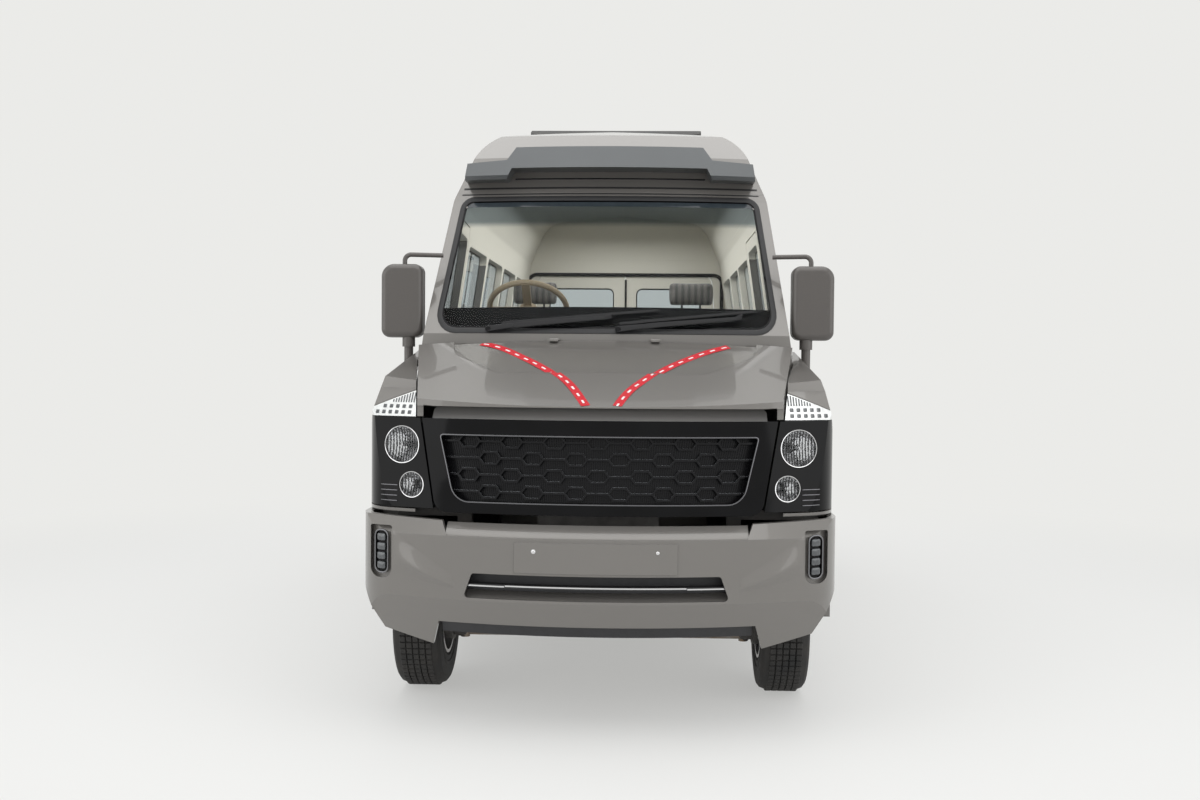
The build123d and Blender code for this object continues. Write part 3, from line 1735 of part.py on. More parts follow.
def seat_leg(x, station, lift):
    """Pair of legs joined by a flat top under one seat."""
    high = floor_top_z + lift + seat_leg_z - seat_gap
    low = floor_top_z + seat_gap
    front = station + leg_front_run
    back = station + leg_back_run
    leg = block(x - leg_outer, x - leg_inner, front, back, low, high)
    leg = leg + block(x + leg_inner, x + leg_outer, front, back, low, high)
    leg = leg + block(x - leg_outer, x + leg_outer, front, back, high - leg_bar, high)
    return leg - rear_housing_space


def joined(shapes):
    return Compound(children=[solid for shape in shapes for solid in shape.solids()])


def windscreen_strip(points, low, high):
    """A raised strip in front of the windscreen, drawn in front view."""
    return (cabin(-high) - cabin(-low)) & front_zone(front_face(points), cab_back_station)


def wiper(pivot_x, tip_x, blade_x, blade_end_x):
    """One wiper parked along the foot of the windscreen, from its spindle to its blade."""
    base = wiper_pivot_z
    tip_z = base + wiper_rise
    arm_high = wiper_blade_height + wiper_arm_thickness
    arm = windscreen_strip(
        [
            (pivot_x - wiper_arm_foot, base - wiper_arm_half),
            (pivot_x + wiper_foot_side, base - wiper_arm_half),
            (tip_x, tip_z - wiper_arm_half),
            (tip_x, tip_z + wiper_arm_half),
            (pivot_x, base + wiper_foot_rise),
        ],
        wiper_blade_height + seat_gap,
        arm_high,
    )
    blade = windscreen_strip(
        [
            (blade_x, base + wiper_foot_side),
            (blade_end_x, tip_z + wiper_foot_rise),
            (blade_end_x, tip_z + wiper_foot_rise + wiper_rubber),
            (blade_x, base + wiper_foot_side + wiper_rubber),
        ],
        seat_gap,
        wiper_blade_height,
    )
    clip = windscreen_strip(
        [
            (tip_x - wiper_clip, tip_z - wiper_rubber),
            (tip_x, tip_z - wiper_rubber),
            (tip_x, tip_z + wiper_clip_rise),
            (tip_x - wiper_clip, tip_z + wiper_clip_rise),
        ],
        wiper_blade_height / 2,
        arm_high,
    )
    spindle = rod_y(pivot_x, 0, cab_back_station, base, wiper_spindle_radius)
    return arm + blade + clip + (spindle & (cabin(-arm_high) - cabin(-seat_gap)))


# ---- hinges ----
def upright_hinge(x, station, z, reach_x, reach_station, fixed_x, fixed_station):
    """Pin hinge with an upright axis: the moving barrel with its leaf, and the fixed barrels with theirs."""
    barrel = rod_z(x, station, z - hinge_half, z + hinge_half, hinge_radius)
    xs = sorted((x, reach_x))
    stations = sorted((station, reach_station))
    moving = barrel + block(*xs, *stations, z - hinge_half, z + hinge_half)
    moving = moving - rod_z(x, station, z - hinge_half, z + hinge_half, hinge_pin_radius + seat_gap)
    pin = rod_z(x, station, z - 3 * hinge_half, z + 3 * hinge_half, hinge_pin_radius)
    fixed = pin
    for low in (z - 3 * hinge_half, z + hinge_half + seat_gap):
        high = low + 2 * hinge_half - seat_gap
        fixed = fixed + rod_z(x, station, low, high, hinge_radius)
        fixed = fixed + block(*sorted((x, fixed_x)), *sorted((station, fixed_station)), low, high)
    return moving, fixed


def tail_lamp():
    place = front_face(
        [
            (tail_lamp_inner_x, tail_lamp_low_z),
            (half_room, tail_lamp_low_z),
            (half_room, tail_lamp_high_z),
            (tail_lamp_inner_x, tail_lamp_high_z),
        ]
    )
    skin_band = cabin(-tail_lamp_rise) - cabin(-seat_gap)
    return skin_band & along(place, tail_lamp_front_station, body_length)


def day_lamp_face():
    return front_face(
        [
            (day_lamp_inner_x, day_lamp_low_z),
            (day_lamp_outer_x, day_lamp_low_z),
            (day_lamp_outer_x, day_lamp_high_z),
            (day_lamp_inner_x, day_lamp_high_z),
        ],
        {0: day_lamp_round, 1: day_lamp_round, 2: day_lamp_round, 3: day_lamp_round},
    )


# ---- assembly ----
cab_axis_x = side_x - cab_taper * (cab_back_station - cab_door_front) + hinge_stand_off
cab_leaf_x = cab_axis_x - hinge_stand_off - hinge_seat
front_panel = cab_front()
left_wall = side_wall(1)
right_wall = side_wall(-1)
cab_door = hinged_panel(cab_door_face, cab_window_face)
for z in cab_hinge_zs:
    moving, fixed = upright_hinge(
        cab_axis_x,
        cab_door_front,
        z,
        cab_leaf_x,
        cab_door_front + hinge_leaf,
        cab_leaf_x,
        cab_door_front - hinge_back_leaf,
    )
    cab_door = cab_door + moving
    front_panel = front_panel + both_sides(fixed)
passenger_axis_x = side_x + hinge_stand_off
passenger_axis_station = passenger_door_front - passenger_hinge_lead
passenger_leaf_x = side_x - hinge_seat
passenger_door = hinged_panel(passenger_door_face, passenger_window_face)
for z in passenger_hinge_zs:
    moving, fixed = upright_hinge(
        passenger_axis_x,
        passenger_axis_station,
        z,
        passenger_leaf_x,
        passenger_door_front + hinge_leaf,
        passenger_leaf_x,
        passenger_axis_station - hinge_back_leaf,
    )
    passenger_door = passenger_door + moving
    left_wall = left_wall + fixed
rear_axis_x = rear_door_half + shut_gap / 2
rear_axis_station = rear_face_station + hinge_stand_off
rear_leaf_station = rear_face_station - hinge_seat
rear_end = rear_frame()
left_rear_door = rear_door(1)
for z in rear_hinge_zs:
    moving, fixed = upright_hinge(
        rear_axis_x,
        rear_axis_station,
        z,
        rear_axis_x - rear_hinge_leaf,
        rear_leaf_station,
        rear_axis_x + rear_hinge_back_leaf,
        rear_leaf_station,
    )
    left_rear_door = left_rear_door + moving
    rear_end = rear_end + both_sides(fixed)

bonnet_panel = bonnet()
bonnet_pin_x = bonnet_hinge_x - bonnet_pin_width
bonnet_pin = rod_x(bonnet_pin_x, bonnet_hinge_x, bonnet_hinge_station, bonnet_hinge_z, hinge_pin_radius)
bonnet_post = block(
    bonnet_hinge_x,
    bonnet_hinge_x + bonnet_post_width,
    bonnet_hinge_station - bonnet_arm_radius,
    cowl_station + bonnet_post_depth,
    bonnet_hinge_z - bonnet_post_width,
    bonnet_hinge_z + bonnet_arm_radius,
)
bonnet_arm_x = bonnet_hinge_x - bonnet_arm_width
bonnet_arm_end_x = bonnet_hinge_x - seat_gap
bonnet_arm = block(
    bonnet_arm_x,
    bonnet_arm_end_x,
    bonnet_rear_station - bonnet_arm_reach,
    bonnet_hinge_station,
    bonnet_hinge_z - bonnet_arm_radius,
    bonnet_hinge_z,
)
bonnet_eye = rod_x(bonnet_arm_x, bonnet_arm_end_x, bonnet_hinge_station, bonnet_hinge_z, bonnet_arm_radius)
bonnet_hole_radius = hinge_pin_radius + seat_gap
bonnet_hole = rod_x(bonnet_pin_x, bonnet_hinge_x, bonnet_hinge_station, bonnet_hinge_z, bonnet_hole_radius)
bonnet_arm = bonnet_arm + bonnet_eye - bonnet_hole
bonnet_panel = bonnet_panel + both_sides(bonnet_arm)
front_panel = front_panel + both_sides(bonnet_pin + bonnet_post)

front_tyre = at_wheel(tyre(tyre_outer_x, front_tyre_width), front_axle_station)
rim_outer_x = tyre_outer_x - rim_edge_inset
front_rim_inner_x = tyre_outer_x - front_tyre_width + rim_edge_inset
front_rim = at_wheel(rim(front_rim_inner_x, rim_outer_x, front_disc_x), front_axle_station)
rear_tyres = tyre(tyre_outer_x, rear_tyre_width) + tyre(tyre_outer_x - twin_spacing, rear_tyre_width)
rear_tyres = at_wheel(rear_tyres, rear_axle_station)
rear_rim_inner_x = tyre_outer_x - twin_spacing - rear_tyre_width + rim_edge_inset
rear_rim = at_wheel(rim(rear_rim_inner_x, rim_outer_x, rear_disc_x), rear_axle_station)
bumper = front_bumper()
day_lamps = (bumper_body(day_lamp_sink) - bumper_body(bumper_skin)) & both_sides(
    front_zone(grown(day_lamp_face(), -seat_gap), bumper_back_station)
)
left_fender = fender()
left_mirror = mirror_assembly()
left_knuckle = knuckle()
cab_pane = pane(cab_window_face)
seats = [(x, station, 0.0) for x in saloon_seat_xs for station in saloon_seat_stations]
first_pair_station = saloon_seat_front_station - first_pair_lead
seats = seats + [(x, first_pair_station, 0.0) for x in saloon_seat_xs[:2]]
cab_seats = [(side * cab_seat_x, cab_seat_station, cab_seat_lift) for side in (-1, 1)]

nodes = {
    "chassis_frame": joined([chassis_frame(), front_support()]),
    "floor": floor(),
    "wheel_housings": wheel_housings(),
    "engine_and_shaft": engine() + gearbox() + drive_shaft(),
    "front_axle": front_axle(),
    "rear_axle": rear_axle(),
    "leaf_springs": leaf_springs(),
    "fuel_tank": fuel_tank(),
    "exhaust": exhaust(),
    "cab_front": front_panel,
    "left_side_wall": left_wall,
    "right_side_wall": right_wall,
    "roof": roof(),
    "rear_frame": rear_end,
    "windscreen": windscreen(),
    "side_windows": side_windows(),
    "roof_visor": roof_visor(),
    "roof_cooling_unit": roof_ac_unit(),
    "left_fender": left_fender,
    "right_fender": mirrored(left_fender),
    "front_bumper": bumper,
    "bumper_grid": joined(bumper_grid()),
    "day_lamps": day_lamps,
    "grille_surround": grille_surround(),
    "grille_lattice": grille_lattice(),
    "garnish_strip": garnish(),
    "headlamps": both_sides(headlamp()),
    "round_lamps": joined([both_sides(lamp) for lamp in round_lamps()]),
    "signal_lenses": both_sides(signal_lens()),
    "bonnet": bonnet_panel,
    "mirrors": both_sides(left_mirror),
    "wipers": joined([wiper(*span) for span in wiper_spans]),
    "dashboard": dashboard(),
    "steering_wheel": steering_wheel(),
    "cab_seats": joined([seat(*place) for place in cab_seats]),
    "saloon_seats": joined([seat(*place) for place in seats]),
    "seat_frames": joined([seat_leg(*place) for place in seats + cab_seats]),
    "left_cab_door": cab_door,
    "right_cab_door": mirrored(cab_door),
    "left_cab_glass": cab_pane,
    "right_cab_glass": mirrored(cab_pane),
    "passenger_door": passenger_door,
    "passenger_door_glass": pane(passenger_window_face),
    "left_rear_door": left_rear_door,
    "right_rear_door": mirrored(left_rear_door),
    "left_rear_glass": rear_pane(1),
    "right_rear_glass": rear_pane(-1),
    "rear_bumper": rear_bumper(),
    "tail_lamps": both_sides(tail_lamp()),
    "left_knuckle": left_knuckle,
    "right_knuckle": mirrored(left_knuckle),
    "tie_rod": tie_rod(),
    "left_front_rim": front_rim,
    "left_front_tyre": front_tyre,
    "right_front_rim": mirrored(front_rim),
    "right_front_tyre": mirrored(front_tyre),
    "left_rear_rims": rear_rim,
    "left_rear_tyres": rear_tyres,
    "right_rear_rims": mirrored(rear_rim),
    "right_rear_tyres": mirrored(rear_tyres),
}
for node, shape in nodes.items():
    save(shape, node)
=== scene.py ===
import math

import bmesh
import bpy
from mathutils import Matrix, Vector
from mathutils.bvhtree import BVHTree


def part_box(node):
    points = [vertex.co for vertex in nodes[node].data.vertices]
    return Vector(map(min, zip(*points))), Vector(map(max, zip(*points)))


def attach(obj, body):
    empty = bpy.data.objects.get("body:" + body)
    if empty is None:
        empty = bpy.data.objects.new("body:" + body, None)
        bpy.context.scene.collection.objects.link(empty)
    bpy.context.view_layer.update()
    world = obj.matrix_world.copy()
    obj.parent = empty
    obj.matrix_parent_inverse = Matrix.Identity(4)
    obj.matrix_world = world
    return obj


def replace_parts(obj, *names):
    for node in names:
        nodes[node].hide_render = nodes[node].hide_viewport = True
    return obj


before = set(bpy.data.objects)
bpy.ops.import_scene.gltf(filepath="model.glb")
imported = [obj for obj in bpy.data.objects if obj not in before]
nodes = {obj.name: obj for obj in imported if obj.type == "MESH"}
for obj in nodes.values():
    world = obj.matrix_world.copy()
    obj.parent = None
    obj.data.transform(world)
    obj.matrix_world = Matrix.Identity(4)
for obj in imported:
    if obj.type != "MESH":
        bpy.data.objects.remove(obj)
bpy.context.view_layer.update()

# ---- camera ----
# A view from in front of the van at chest height, a little to its left side and
# turned slightly back towards its middle.
scene = bpy.context.scene
turn_left, tilt_up, roll = math.radians(2.2), math.radians(90 - 1.7), math.radians(0.5)
camera_data = bpy.data.cameras.new("camera")
camera_data.lens = 38.4
camera_data.sensor_width = 36.0
camera = bpy.data.objects.new("camera", camera_data)
scene.collection.objects.link(camera)
camera.location = (0.205, -7.79, 1.5)
camera_aim = Matrix.Rotation(turn_left, 4, "Z") @ Matrix.Rotation(tilt_up, 4, "X")
camera.rotation_euler = (camera_aim @ Matrix.Rotation(roll, 4, "Z")).to_euler()
scene.camera = camera

# ---- studio ----
# A pale floor that runs out into a pale room, with one wide soft light above,
# one at each side, a weak low one in front, one behind and one in the cabin.
scene.view_settings.view_transform = "Standard"
room_colour = (0.83, 0.83, 0.81, 1)
floor_half = 60.0
shadow_reach, shadow_end = 3.2, 7.0


def fill(tree, part, inputs):
    """Gives a shader node's inputs their values, or joins them to the outputs named for them."""
    for name, value in inputs.items():
        if isinstance(value, bpy.types.NodeSocket):
            tree.links.new(value, part.inputs[name])
        else:
            part.inputs[name].default_value = value


def wired(tree, kind, inputs, **settings):
    """Adds a shader node with its settings made and its inputs filled."""
    part = tree.nodes.new("ShaderNode" + kind)
    for name, value in settings.items():
        setattr(part, name, value)
    fill(tree, part, inputs)
    return part


def backdrop_mix(tree, lit, glow, fade=None):
    """Shows the plain glow to the camera, in gloss and through glass, and the lit surface to all else."""
    path = wired(tree, "LightPath", {})
    share = path.outputs["Is Camera Ray"]
    for ray_kind in ("Is Glossy Ray", "Is Transmission Ray"):
        share = wired(tree, "Math", {0: share, 1: path.outputs[ray_kind]}, operation="MAXIMUM").outputs[0]
    if fade is not None:
        share = wired(tree, "Math", {0: share, 1: fade}, operation="MULTIPLY").outputs[0]
    return wired(tree, "MixShader", {0: share, 1: lit.outputs[0], 2: glow.outputs[0]})


world = bpy.data.worlds.new("room")
world.use_nodes = True
scene.world = world
room_tree = world.node_tree
room = room_tree.nodes["Background"]
fill(room_tree, room, {"Color": (0.80, 0.83, 0.86, 1), "Strength": 0.75})
room_glow = wired(room_tree, "Background", {"Color": room_colour})
room_mix = backdrop_mix(room_tree, room, room_glow)
fill(room_tree, room_tree.nodes["World Output"], {0: room_mix.outputs[0]})

floor_mesh = bmesh.new()
bmesh.ops.create_grid(floor_mesh, x_segments=1, y_segments=1, size=floor_half)
floor_data = bpy.data.meshes.new("studio_floor")
floor_mesh.to_mesh(floor_data)
floor_mesh.free()
studio_floor = bpy.data.objects.new("studio_floor", floor_data)
scene.collection.objects.link(studio_floor)
floor_paint = bpy.data.materials.new("pale_floor")
floor_paint.use_nodes = True
floor_tree = floor_paint.node_tree
floor_shader = floor_tree.nodes["Principled BSDF"]
fill(
    floor_tree,
    floor_shader,
    {"Base Color": (0.80, 0.79, 0.77, 1), "Roughness": 0.85, "Specular IOR Level": 0.1},
)
floor_glow = wired(floor_tree, "Emission", {"Color": room_colour})
floor_place = wired(floor_tree, "TexCoord", {})
floor_reach = wired(floor_tree, "VectorMath", {0: floor_place.outputs["Object"]}, operation="LENGTH")
floor_fade = wired(
    floor_tree,
    "MapRange",
    {"From Min": shadow_reach, "From Max": shadow_end, "To Min": 0.5, "Value": floor_reach.outputs["Value"]},
    interpolation_type="SMOOTHSTEP",
)
floor_mix = backdrop_mix(floor_tree, floor_shader, floor_glow, floor_fade.outputs[0])
fill(floor_tree, floor_tree.nodes["Material Output"], {0: floor_mix.outputs[0]})
floor_data.materials.append(floor_paint)

for light_name, light_place, light_turn, light_size, light_power in (
    ("above", (0.0, -2.2, 6.0), (0.25, 0.0, 0.0), (7.0, 8.0), 240.0),
    ("front", (0.0, -9.5, 1.9), (1.57, 0.0, 0.0), (7.0, 2.4), 110.0),
    ("left_side", (6.5, -4.5, 3.0), (1.30, 0.0, 0.95), (6.5, 5.0), 105.0),
    ("right_side", (-6.5, -4.5, 3.0), (1.30, 0.0, -0.95), (6.5, 5.0), 105.0),
    ("behind", (0.0, 7.0, 4.5), (-1.1, 0.0, 0.0), (6.0, 4.0), 170.0),
    ("cabin", (0.0, 0.4, 2.50), (0.0, 0.0, 0.0), (0.9, 3.6), 36.0),
):
    lamp = bpy.data.lights.new(light_name, "AREA")
    lamp.shape = "RECTANGLE"
    lamp.size, lamp.size_y = light_size
    lamp.energy = light_power
    lamp_object = bpy.data.objects.new(light_name, lamp)
    lamp_object.location = light_place
    lamp_object.rotation_euler = light_turn
    lamp_object.visible_glossy = light_name not in ("front", "behind", "cabin")
    lamp_object.visible_camera = False
    lamp_object.visible_transmission = False
    scene.collection.objects.link(lamp_object)

# ---- chassis, axles and springs ----
# Pressed rails, forged beam and tube axle in black chassis paint, dulled with road
# dust; the rods, the leaf springs and the exhaust are bare steel.


def finish(
    name, colour, roughness, metallic=0.0, spread=0.08, scale=18.0, grain=0.0, grain_scale=40.0,
    coat=0.0, dust=None, gloss=None,
):
    """Finish with uneven colour and roughness and a raised grain, laid on in the piece's own space."""
    material = bpy.data.materials.new(name)
    material.use_nodes = True
    tree = material.node_tree
    shader = tree.nodes["Principled BSDF"]
    place = wired(tree, "TexCoord", {}).outputs["Object"]
    cloud = wired(tree, "TexNoise", {"Scale": scale, "Detail": 6.0, "Vector": place}).outputs["Fac"]
    tint = wired(tree, "ValToRGB", {"Fac": cloud})
    dark, light = tint.color_ramp.elements
    dark.position, light.position = 0.3, 0.7
    dark.color = (*[c * (1 - spread) for c in colour], 1)
    light.color = (*(dust or [min(1.0, c * (1 + spread)) for c in colour]), 1)
    rough = {"To Min": roughness * (1 - spread), "To Max": min(1.0, roughness * (1 + spread)), "Value": cloud}
    looks = {
        "Base Color": tint.outputs["Color"],
        "Roughness": wired(tree, "MapRange", rough).outputs["Result"],
        "Metallic": metallic,
        "Coat Weight": coat,
        "Coat Roughness": 0.03,
    }
    if gloss is not None:
        looks["Specular IOR Level"] = gloss
    if grain:
        fine = wired(tree, "TexNoise", {"Scale": grain_scale, "Detail": 3.0, "Vector": place}).outputs["Fac"]
        looks["Normal"] = wired(tree, "Bump", {"Distance": grain, "Height": fine}).outputs["Normal"]
    fill(tree, shader, looks)
    return material


def dress(material, *names):
    """Puts a finish on CAD nodes whose shape stays."""
    for name in names:
        data = nodes[name].data
        data.materials.clear()
        data.materials.append(material)


def piece(name, mesh, material, body, crease=35.0):
    """Makes an object of a finished mesh, smooth up to the crease angle, that rides on a body."""
    data = bpy.data.meshes.new(name)
    mesh.normal_update()
    mesh.to_mesh(data)
    mesh.free()
    data.materials.append(material)
    data.shade_smooth()
    data.set_sharp_from_angle(angle=math.radians(crease))
    made = bpy.data.objects.new(name, data)
    scene.collection.objects.link(made)
    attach(made, body)
    return made


def add_block(mesh, low, high, round_off):
    """Adds a block between two corners, with its edges rounded off."""
    made = bmesh.ops.create_cube(mesh, size=1.0)["verts"]
    size = [top - base for base, top in zip(low, high)]
    middle = Vector([(top + base) / 2 for base, top in zip(low, high)])
    bmesh.ops.scale(mesh, vec=size, verts=made)
    bmesh.ops.translate(mesh, vec=middle, verts=made)
    edges = list({edge for vert in made for edge in vert.link_edges})
    bmesh.ops.bevel(mesh, geom=edges, offset=round_off, affect="EDGES", segments=2, profile=0.5, material=-1)


def add_turned(mesh, profile, centre, axis, steps, reach=(0, 0, 1)):
    """Adds a shape turned about an axis through centre, from (radius, distance along the axis) points."""
    axis = Vector(axis)
    verts = [mesh.verts.new(Vector(centre) + Vector(reach) * radius + axis * run) for radius, run in profile]
    edges = [mesh.edges.new(pair) for pair in zip(verts, verts[1:])]
    bmesh.ops.spin(
        mesh,
        geom=verts + edges,
        cent=centre,
        axis=axis,
        dvec=(0, 0, 0),
        angle=2 * math.pi,
        steps=steps,
        use_merge=True,
    )
    bmesh.ops.remove_doubles(mesh, verts=mesh.verts, dist=1e-6)
    bmesh.ops.recalc_face_normals(mesh, faces=mesh.faces)


chassis_paint = finish(
    "chassis_paint", (0.02, 0.02, 0.02), 0.5, metallic=0.1, spread=0.25, scale=9.0,
    grain=0.0008, grain_scale=60.0, dust=(0.055, 0.05, 0.045),
)
dress(chassis_paint, "chassis_frame", "front_axle", "rear_axle", "fuel_tank")
cast_iron = finish(
    "cast_iron", (0.11, 0.105, 0.10), 0.6, metallic=0.6, spread=0.3, scale=14.0, grain=0.001,
    grain_scale=180.0,
)
dress(cast_iron, "engine_and_shaft", "left_knuckle", "right_knuckle")
bare_steel = finish(
    "bare_steel", (0.38, 0.37, 0.36), 0.4, metallic=0.9, spread=0.2, scale=16.0, grain=0.0004,
    grain_scale=220.0, dust=(0.22, 0.16, 0.11),
)
dress(bare_steel, "tie_rod", "exhaust", "leaf_springs")

# ---- tyres ----
# Tubeless steel-belted road tyres of black rubber: a moulded sidewall with raised
# rings, a rounded shoulder and five rows of tread blocks parted by deep grooves.
tyre_rubber = finish(
    "tyre_rubber", (0.018, 0.018, 0.018), 0.78, spread=0.2, scale=9.0, grain=0.0006,
    grain_scale=420.0, dust=(0.04, 0.037, 0.034),
)
axle_height, front_axle_y, rear_axle_y = 0.35, -1.894, 1.456
tyre_radius, bead_radius, shoulder_width = 0.3495, 0.2035, 0.036
tread_depth, groove_width, tyre_steps = 0.008, 0.0035, 72


def join_in(mesh, draft):
    """Adds a draft mesh to a piece's mesh."""
    data = bpy.data.meshes.new("draft")
    draft.to_mesh(data)
    draft.free()
    mesh.from_mesh(data)
    bpy.data.meshes.remove(data)


def add_tyre(mesh, outer_x, width, centre_y, side):
    """Adds one tyre about the wheel's axis, with its tread blocks raised from the carcass."""
    bead = bead_radius
    half = width / 2 - 0.0005
    belt = tyre_radius - tread_depth
    rows = [half - shoulder_width, (half - shoulder_width) * 0.6, (half - shoulder_width) * 0.2]
    edge = [
        (bead, -half + 0.014),
        (bead + 0.012, -half + 0.004),
        (bead + 0.035, -half + 0.005),
        (bead + 0.040, -half + 0.001),
        (bead + 0.048, -half + 0.001),
        (bead + 0.052, -half + 0.004),
        (belt - 0.045, -half),
        (belt - 0.022, -half + 0.003),
        (belt - 0.008, -half + 0.014),
    ]
    tread = [(belt, run) for run in (-rows[0], -rows[1], -rows[2], rows[2], rows[1], rows[0])]
    back = [(radius, -run) for radius, run in reversed(edge)]
    inside = [(bead, half - 0.014), (bead - 0.0002, 0.0), (bead, -half + 0.014)]
    centre = (side * (outer_x - width / 2), centre_y, axle_height)
    tyre = bmesh.new()
    add_turned(tyre, edge + tread + back + inside, centre, (1, 0, 0), tyre_steps)
    blocks = [
        face
        for face in tyre.faces
        if all(abs((vert.co - Vector(centre)).yz.length - belt) < 0.0005 for vert in face.verts)
    ]
    sunk = {"thickness": groove_width, "depth": tread_depth, "use_even_offset": True}
    bmesh.ops.inset_individual(tyre, faces=blocks, **sunk)
    join_in(mesh, tyre)


for side, side_name in ((1, "left"), (-1, "right")):
    for tread_name, tyre_name, axle_y, width, outer_sides, wheel_name in (
        ("_front_tread", "_front_tyre", front_axle_y, 0.215, (0.920,), "_front_wheel"),
        ("_rear_treads", "_rear_tyres", rear_axle_y, 0.195, (0.920, 0.695), "_rear_wheel"),
    ):
        mesh = bmesh.new()
        for outer_x in outer_sides:
            add_tyre(mesh, outer_x, width, axle_y, side)
        made = piece(side_name + tread_name, mesh, tyre_rubber, side_name + wheel_name, 30.0)
        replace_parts(made, side_name + tyre_name)

# ---- rims, nuts and caps ----
# Pressed steel disc wheels in silver paint, each held by six domed nuts round a
# plain hub cap.
wheel_paint = finish(
    "wheel_paint", (0.42, 0.42, 0.43), 0.34, metallic=0.65, spread=0.12, scale=8.0,
    grain=0.0002, grain_scale=400.0, coat=0.3, dust=(0.30, 0.27, 0.24),
)
dress(wheel_paint, "left_front_rim", "right_front_rim", "left_rear_rims", "right_rear_rims")
nut_count, nut_circle = 6, 0.1
nut_profile = [
    *((0.0, 0.024), (0.008, 0.022), (0.013, 0.015), (0.016, 0.0)),
    *((0.019, 0.0), (0.019, -0.002), (0.0, -0.002)),
]
for side, side_name in ((1, "left"), (-1, "right")):
    for end_name, axle_y, disc_x in (("front", front_axle_y, 0.864), ("rear", rear_axle_y, 0.726)):
        mesh = bmesh.new()
        for number in range(nut_count):
            angle = 2 * math.pi * (number + 0.5) / nut_count
            across, up = nut_circle * math.cos(angle), nut_circle * math.sin(angle)
            add_turned(mesh, nut_profile, (side * disc_x, axle_y + across, axle_height + up), (side, 0, 0), 6)
        piece(f"{side_name}_{end_name}_nuts", mesh, bare_steel, f"{side_name}_{end_name}_wheel")

# ---- body shell, doors and panels ----
# Pressed steel panels in a gloss warm grey two-coat paint. The inside faces of the
# cabin are covered with a pale moulded trim.
cabin_middle = (0, 0, 1.6)
lining_colour = (0.74, 0.71, 0.63, 1)


def body_finish(name, lined):
    """Two-coat paint with fine flakes, and pale trim on the faces that look into the cabin."""
    material = finish(name, (0.165, 0.155, 0.143), 0.32, metallic=0.25, spread=0.03, scale=900.0, coat=0.8)
    tree = material.node_tree
    shader = tree.nodes["Principled BSDF"]
    place = wired(tree, "TexCoord", {}).outputs["Object"]
    soft = wired(tree, "Bevel", {"Radius": 0.004}, samples=4).outputs["Normal"]
    ripple = wired(tree, "TexNoise", {"Scale": 2.2, "Detail": 1.0, "Vector": place}).outputs["Fac"]
    wave = wired(tree, "Bump", {"Distance": 0.004, "Strength": 0.35, "Height": ripple, "Normal": soft})
    fill(tree, shader, {"Normal": wave.outputs["Normal"]})
    if not lined:
        return material
    outward = wired(tree, "VectorMath", {0: place, 1: cabin_middle}, operation="SUBTRACT").outputs["Vector"]
    turned = wired(tree, "NewGeometry", {}).outputs["True Normal"]
    own_way = wired(
        tree, "VectorTransform", {0: turned}, vector_type="NORMAL", convert_from="WORLD", convert_to="OBJECT"
    )
    facing = wired(tree, "VectorMath", {0: outward, 1: own_way.outputs[0]}, operation="DOT_PRODUCT")
    inside = wired(tree, "Math", {0: facing.outputs["Value"], 1: 0.0}, operation="LESS_THAN").outputs["Value"]
    paint = shader.inputs["Base Color"].links[0].from_socket
    cover = wired(tree, "Mix", {}, data_type="RGBA")
    fill(tree, cover, {"Factor": inside, "A": paint, "B": lining_colour})
    dull = wired(tree, "MapRange", {"To Min": 0.3, "To Max": 0.75, "Value": inside})
    outer = wired(tree, "Math", {0: 1.0, 1: inside}, operation="SUBTRACT").outputs["Value"]
    flakes = wired(tree, "Math", {0: outer, 1: 0.25}, operation="MULTIPLY").outputs["Value"]
    looks = {"Base Color": cover.outputs["Result"], "Roughness": dull.outputs["Result"]}
    fill(tree, shader, looks | {"Coat Weight": outer, "Metallic": flakes})
    return material


cabin_paint = body_finish("cabin_paint", True)
body_paint = body_finish("body_paint", False)
dress(
    cabin_paint,
    *("cab_front", "left_side_wall", "right_side_wall", "roof", "rear_frame"),
    *("left_cab_door", "right_cab_door", "passenger_door", "left_rear_door", "right_rear_door"),
)
dress(body_paint, "left_fender", "right_fender", "bonnet", "front_bumper")
# The visor gets a darker, cooler copy of the body paint with a thin coat: its darker colour is painted shade
# on its front face, and the thin coat gives the moulding less shine.
visor_shaded_paint = finish(
    "visor_shaded_paint", (0.105, 0.111, 0.114), 0.42, metallic=0.1, spread=0.05, scale=3.0, coat=0.15
)
dress(visor_shaded_paint, "roof_visor")
satin_grey = finish("satin_grey", (0.30, 0.29, 0.28), 0.3, metallic=0.5, spread=0.04, scale=500.0, coat=0.4)
dress(satin_grey, "garnish_strip")
dark_plastic = finish(
    "dark_plastic", (0.022, 0.022, 0.024), 0.5, spread=0.15, scale=25.0, grain=0.0005,
    grain_scale=600.0,
)
gloss_black = finish("gloss_black", (0.003, 0.003, 0.0035), 0.07, spread=0.3, scale=6.0, gloss=0.16)
dress(gloss_black, "grille_surround", "headlamps")
dress(dark_plastic, "bumper_grid", "rear_bumper", "wheel_housings")


def along(axis):
    """Unit vector of an axis given by its number."""
    return Vector([float(n == axis) for n in range(3)])


def slice_up(mesh, axis, step):
    """Cuts a flat piece across at even steps along an axis, so that it can follow a curved skin."""
    spots = [vert.co[axis] for vert in mesh.verts]
    count = int((max(spots) - min(spots)) / step)
    for number in range(1, count + 1):
        place = min(spots) + number * (max(spots) - min(spots)) / (count + 1)
        everything = mesh.verts[:] + mesh.edges[:] + mesh.faces[:]
        bmesh.ops.bisect_plane(
            mesh, geom=everything, dist=1e-6, plane_co=along(axis) * place, plane_no=along(axis)
        )


def oblong(low_a, low_b, high_a, high_b):
    """Corners of a plain rectangle."""
    return [(low_a, low_b), (high_a, low_b), (high_a, high_b), (low_a, high_b)]


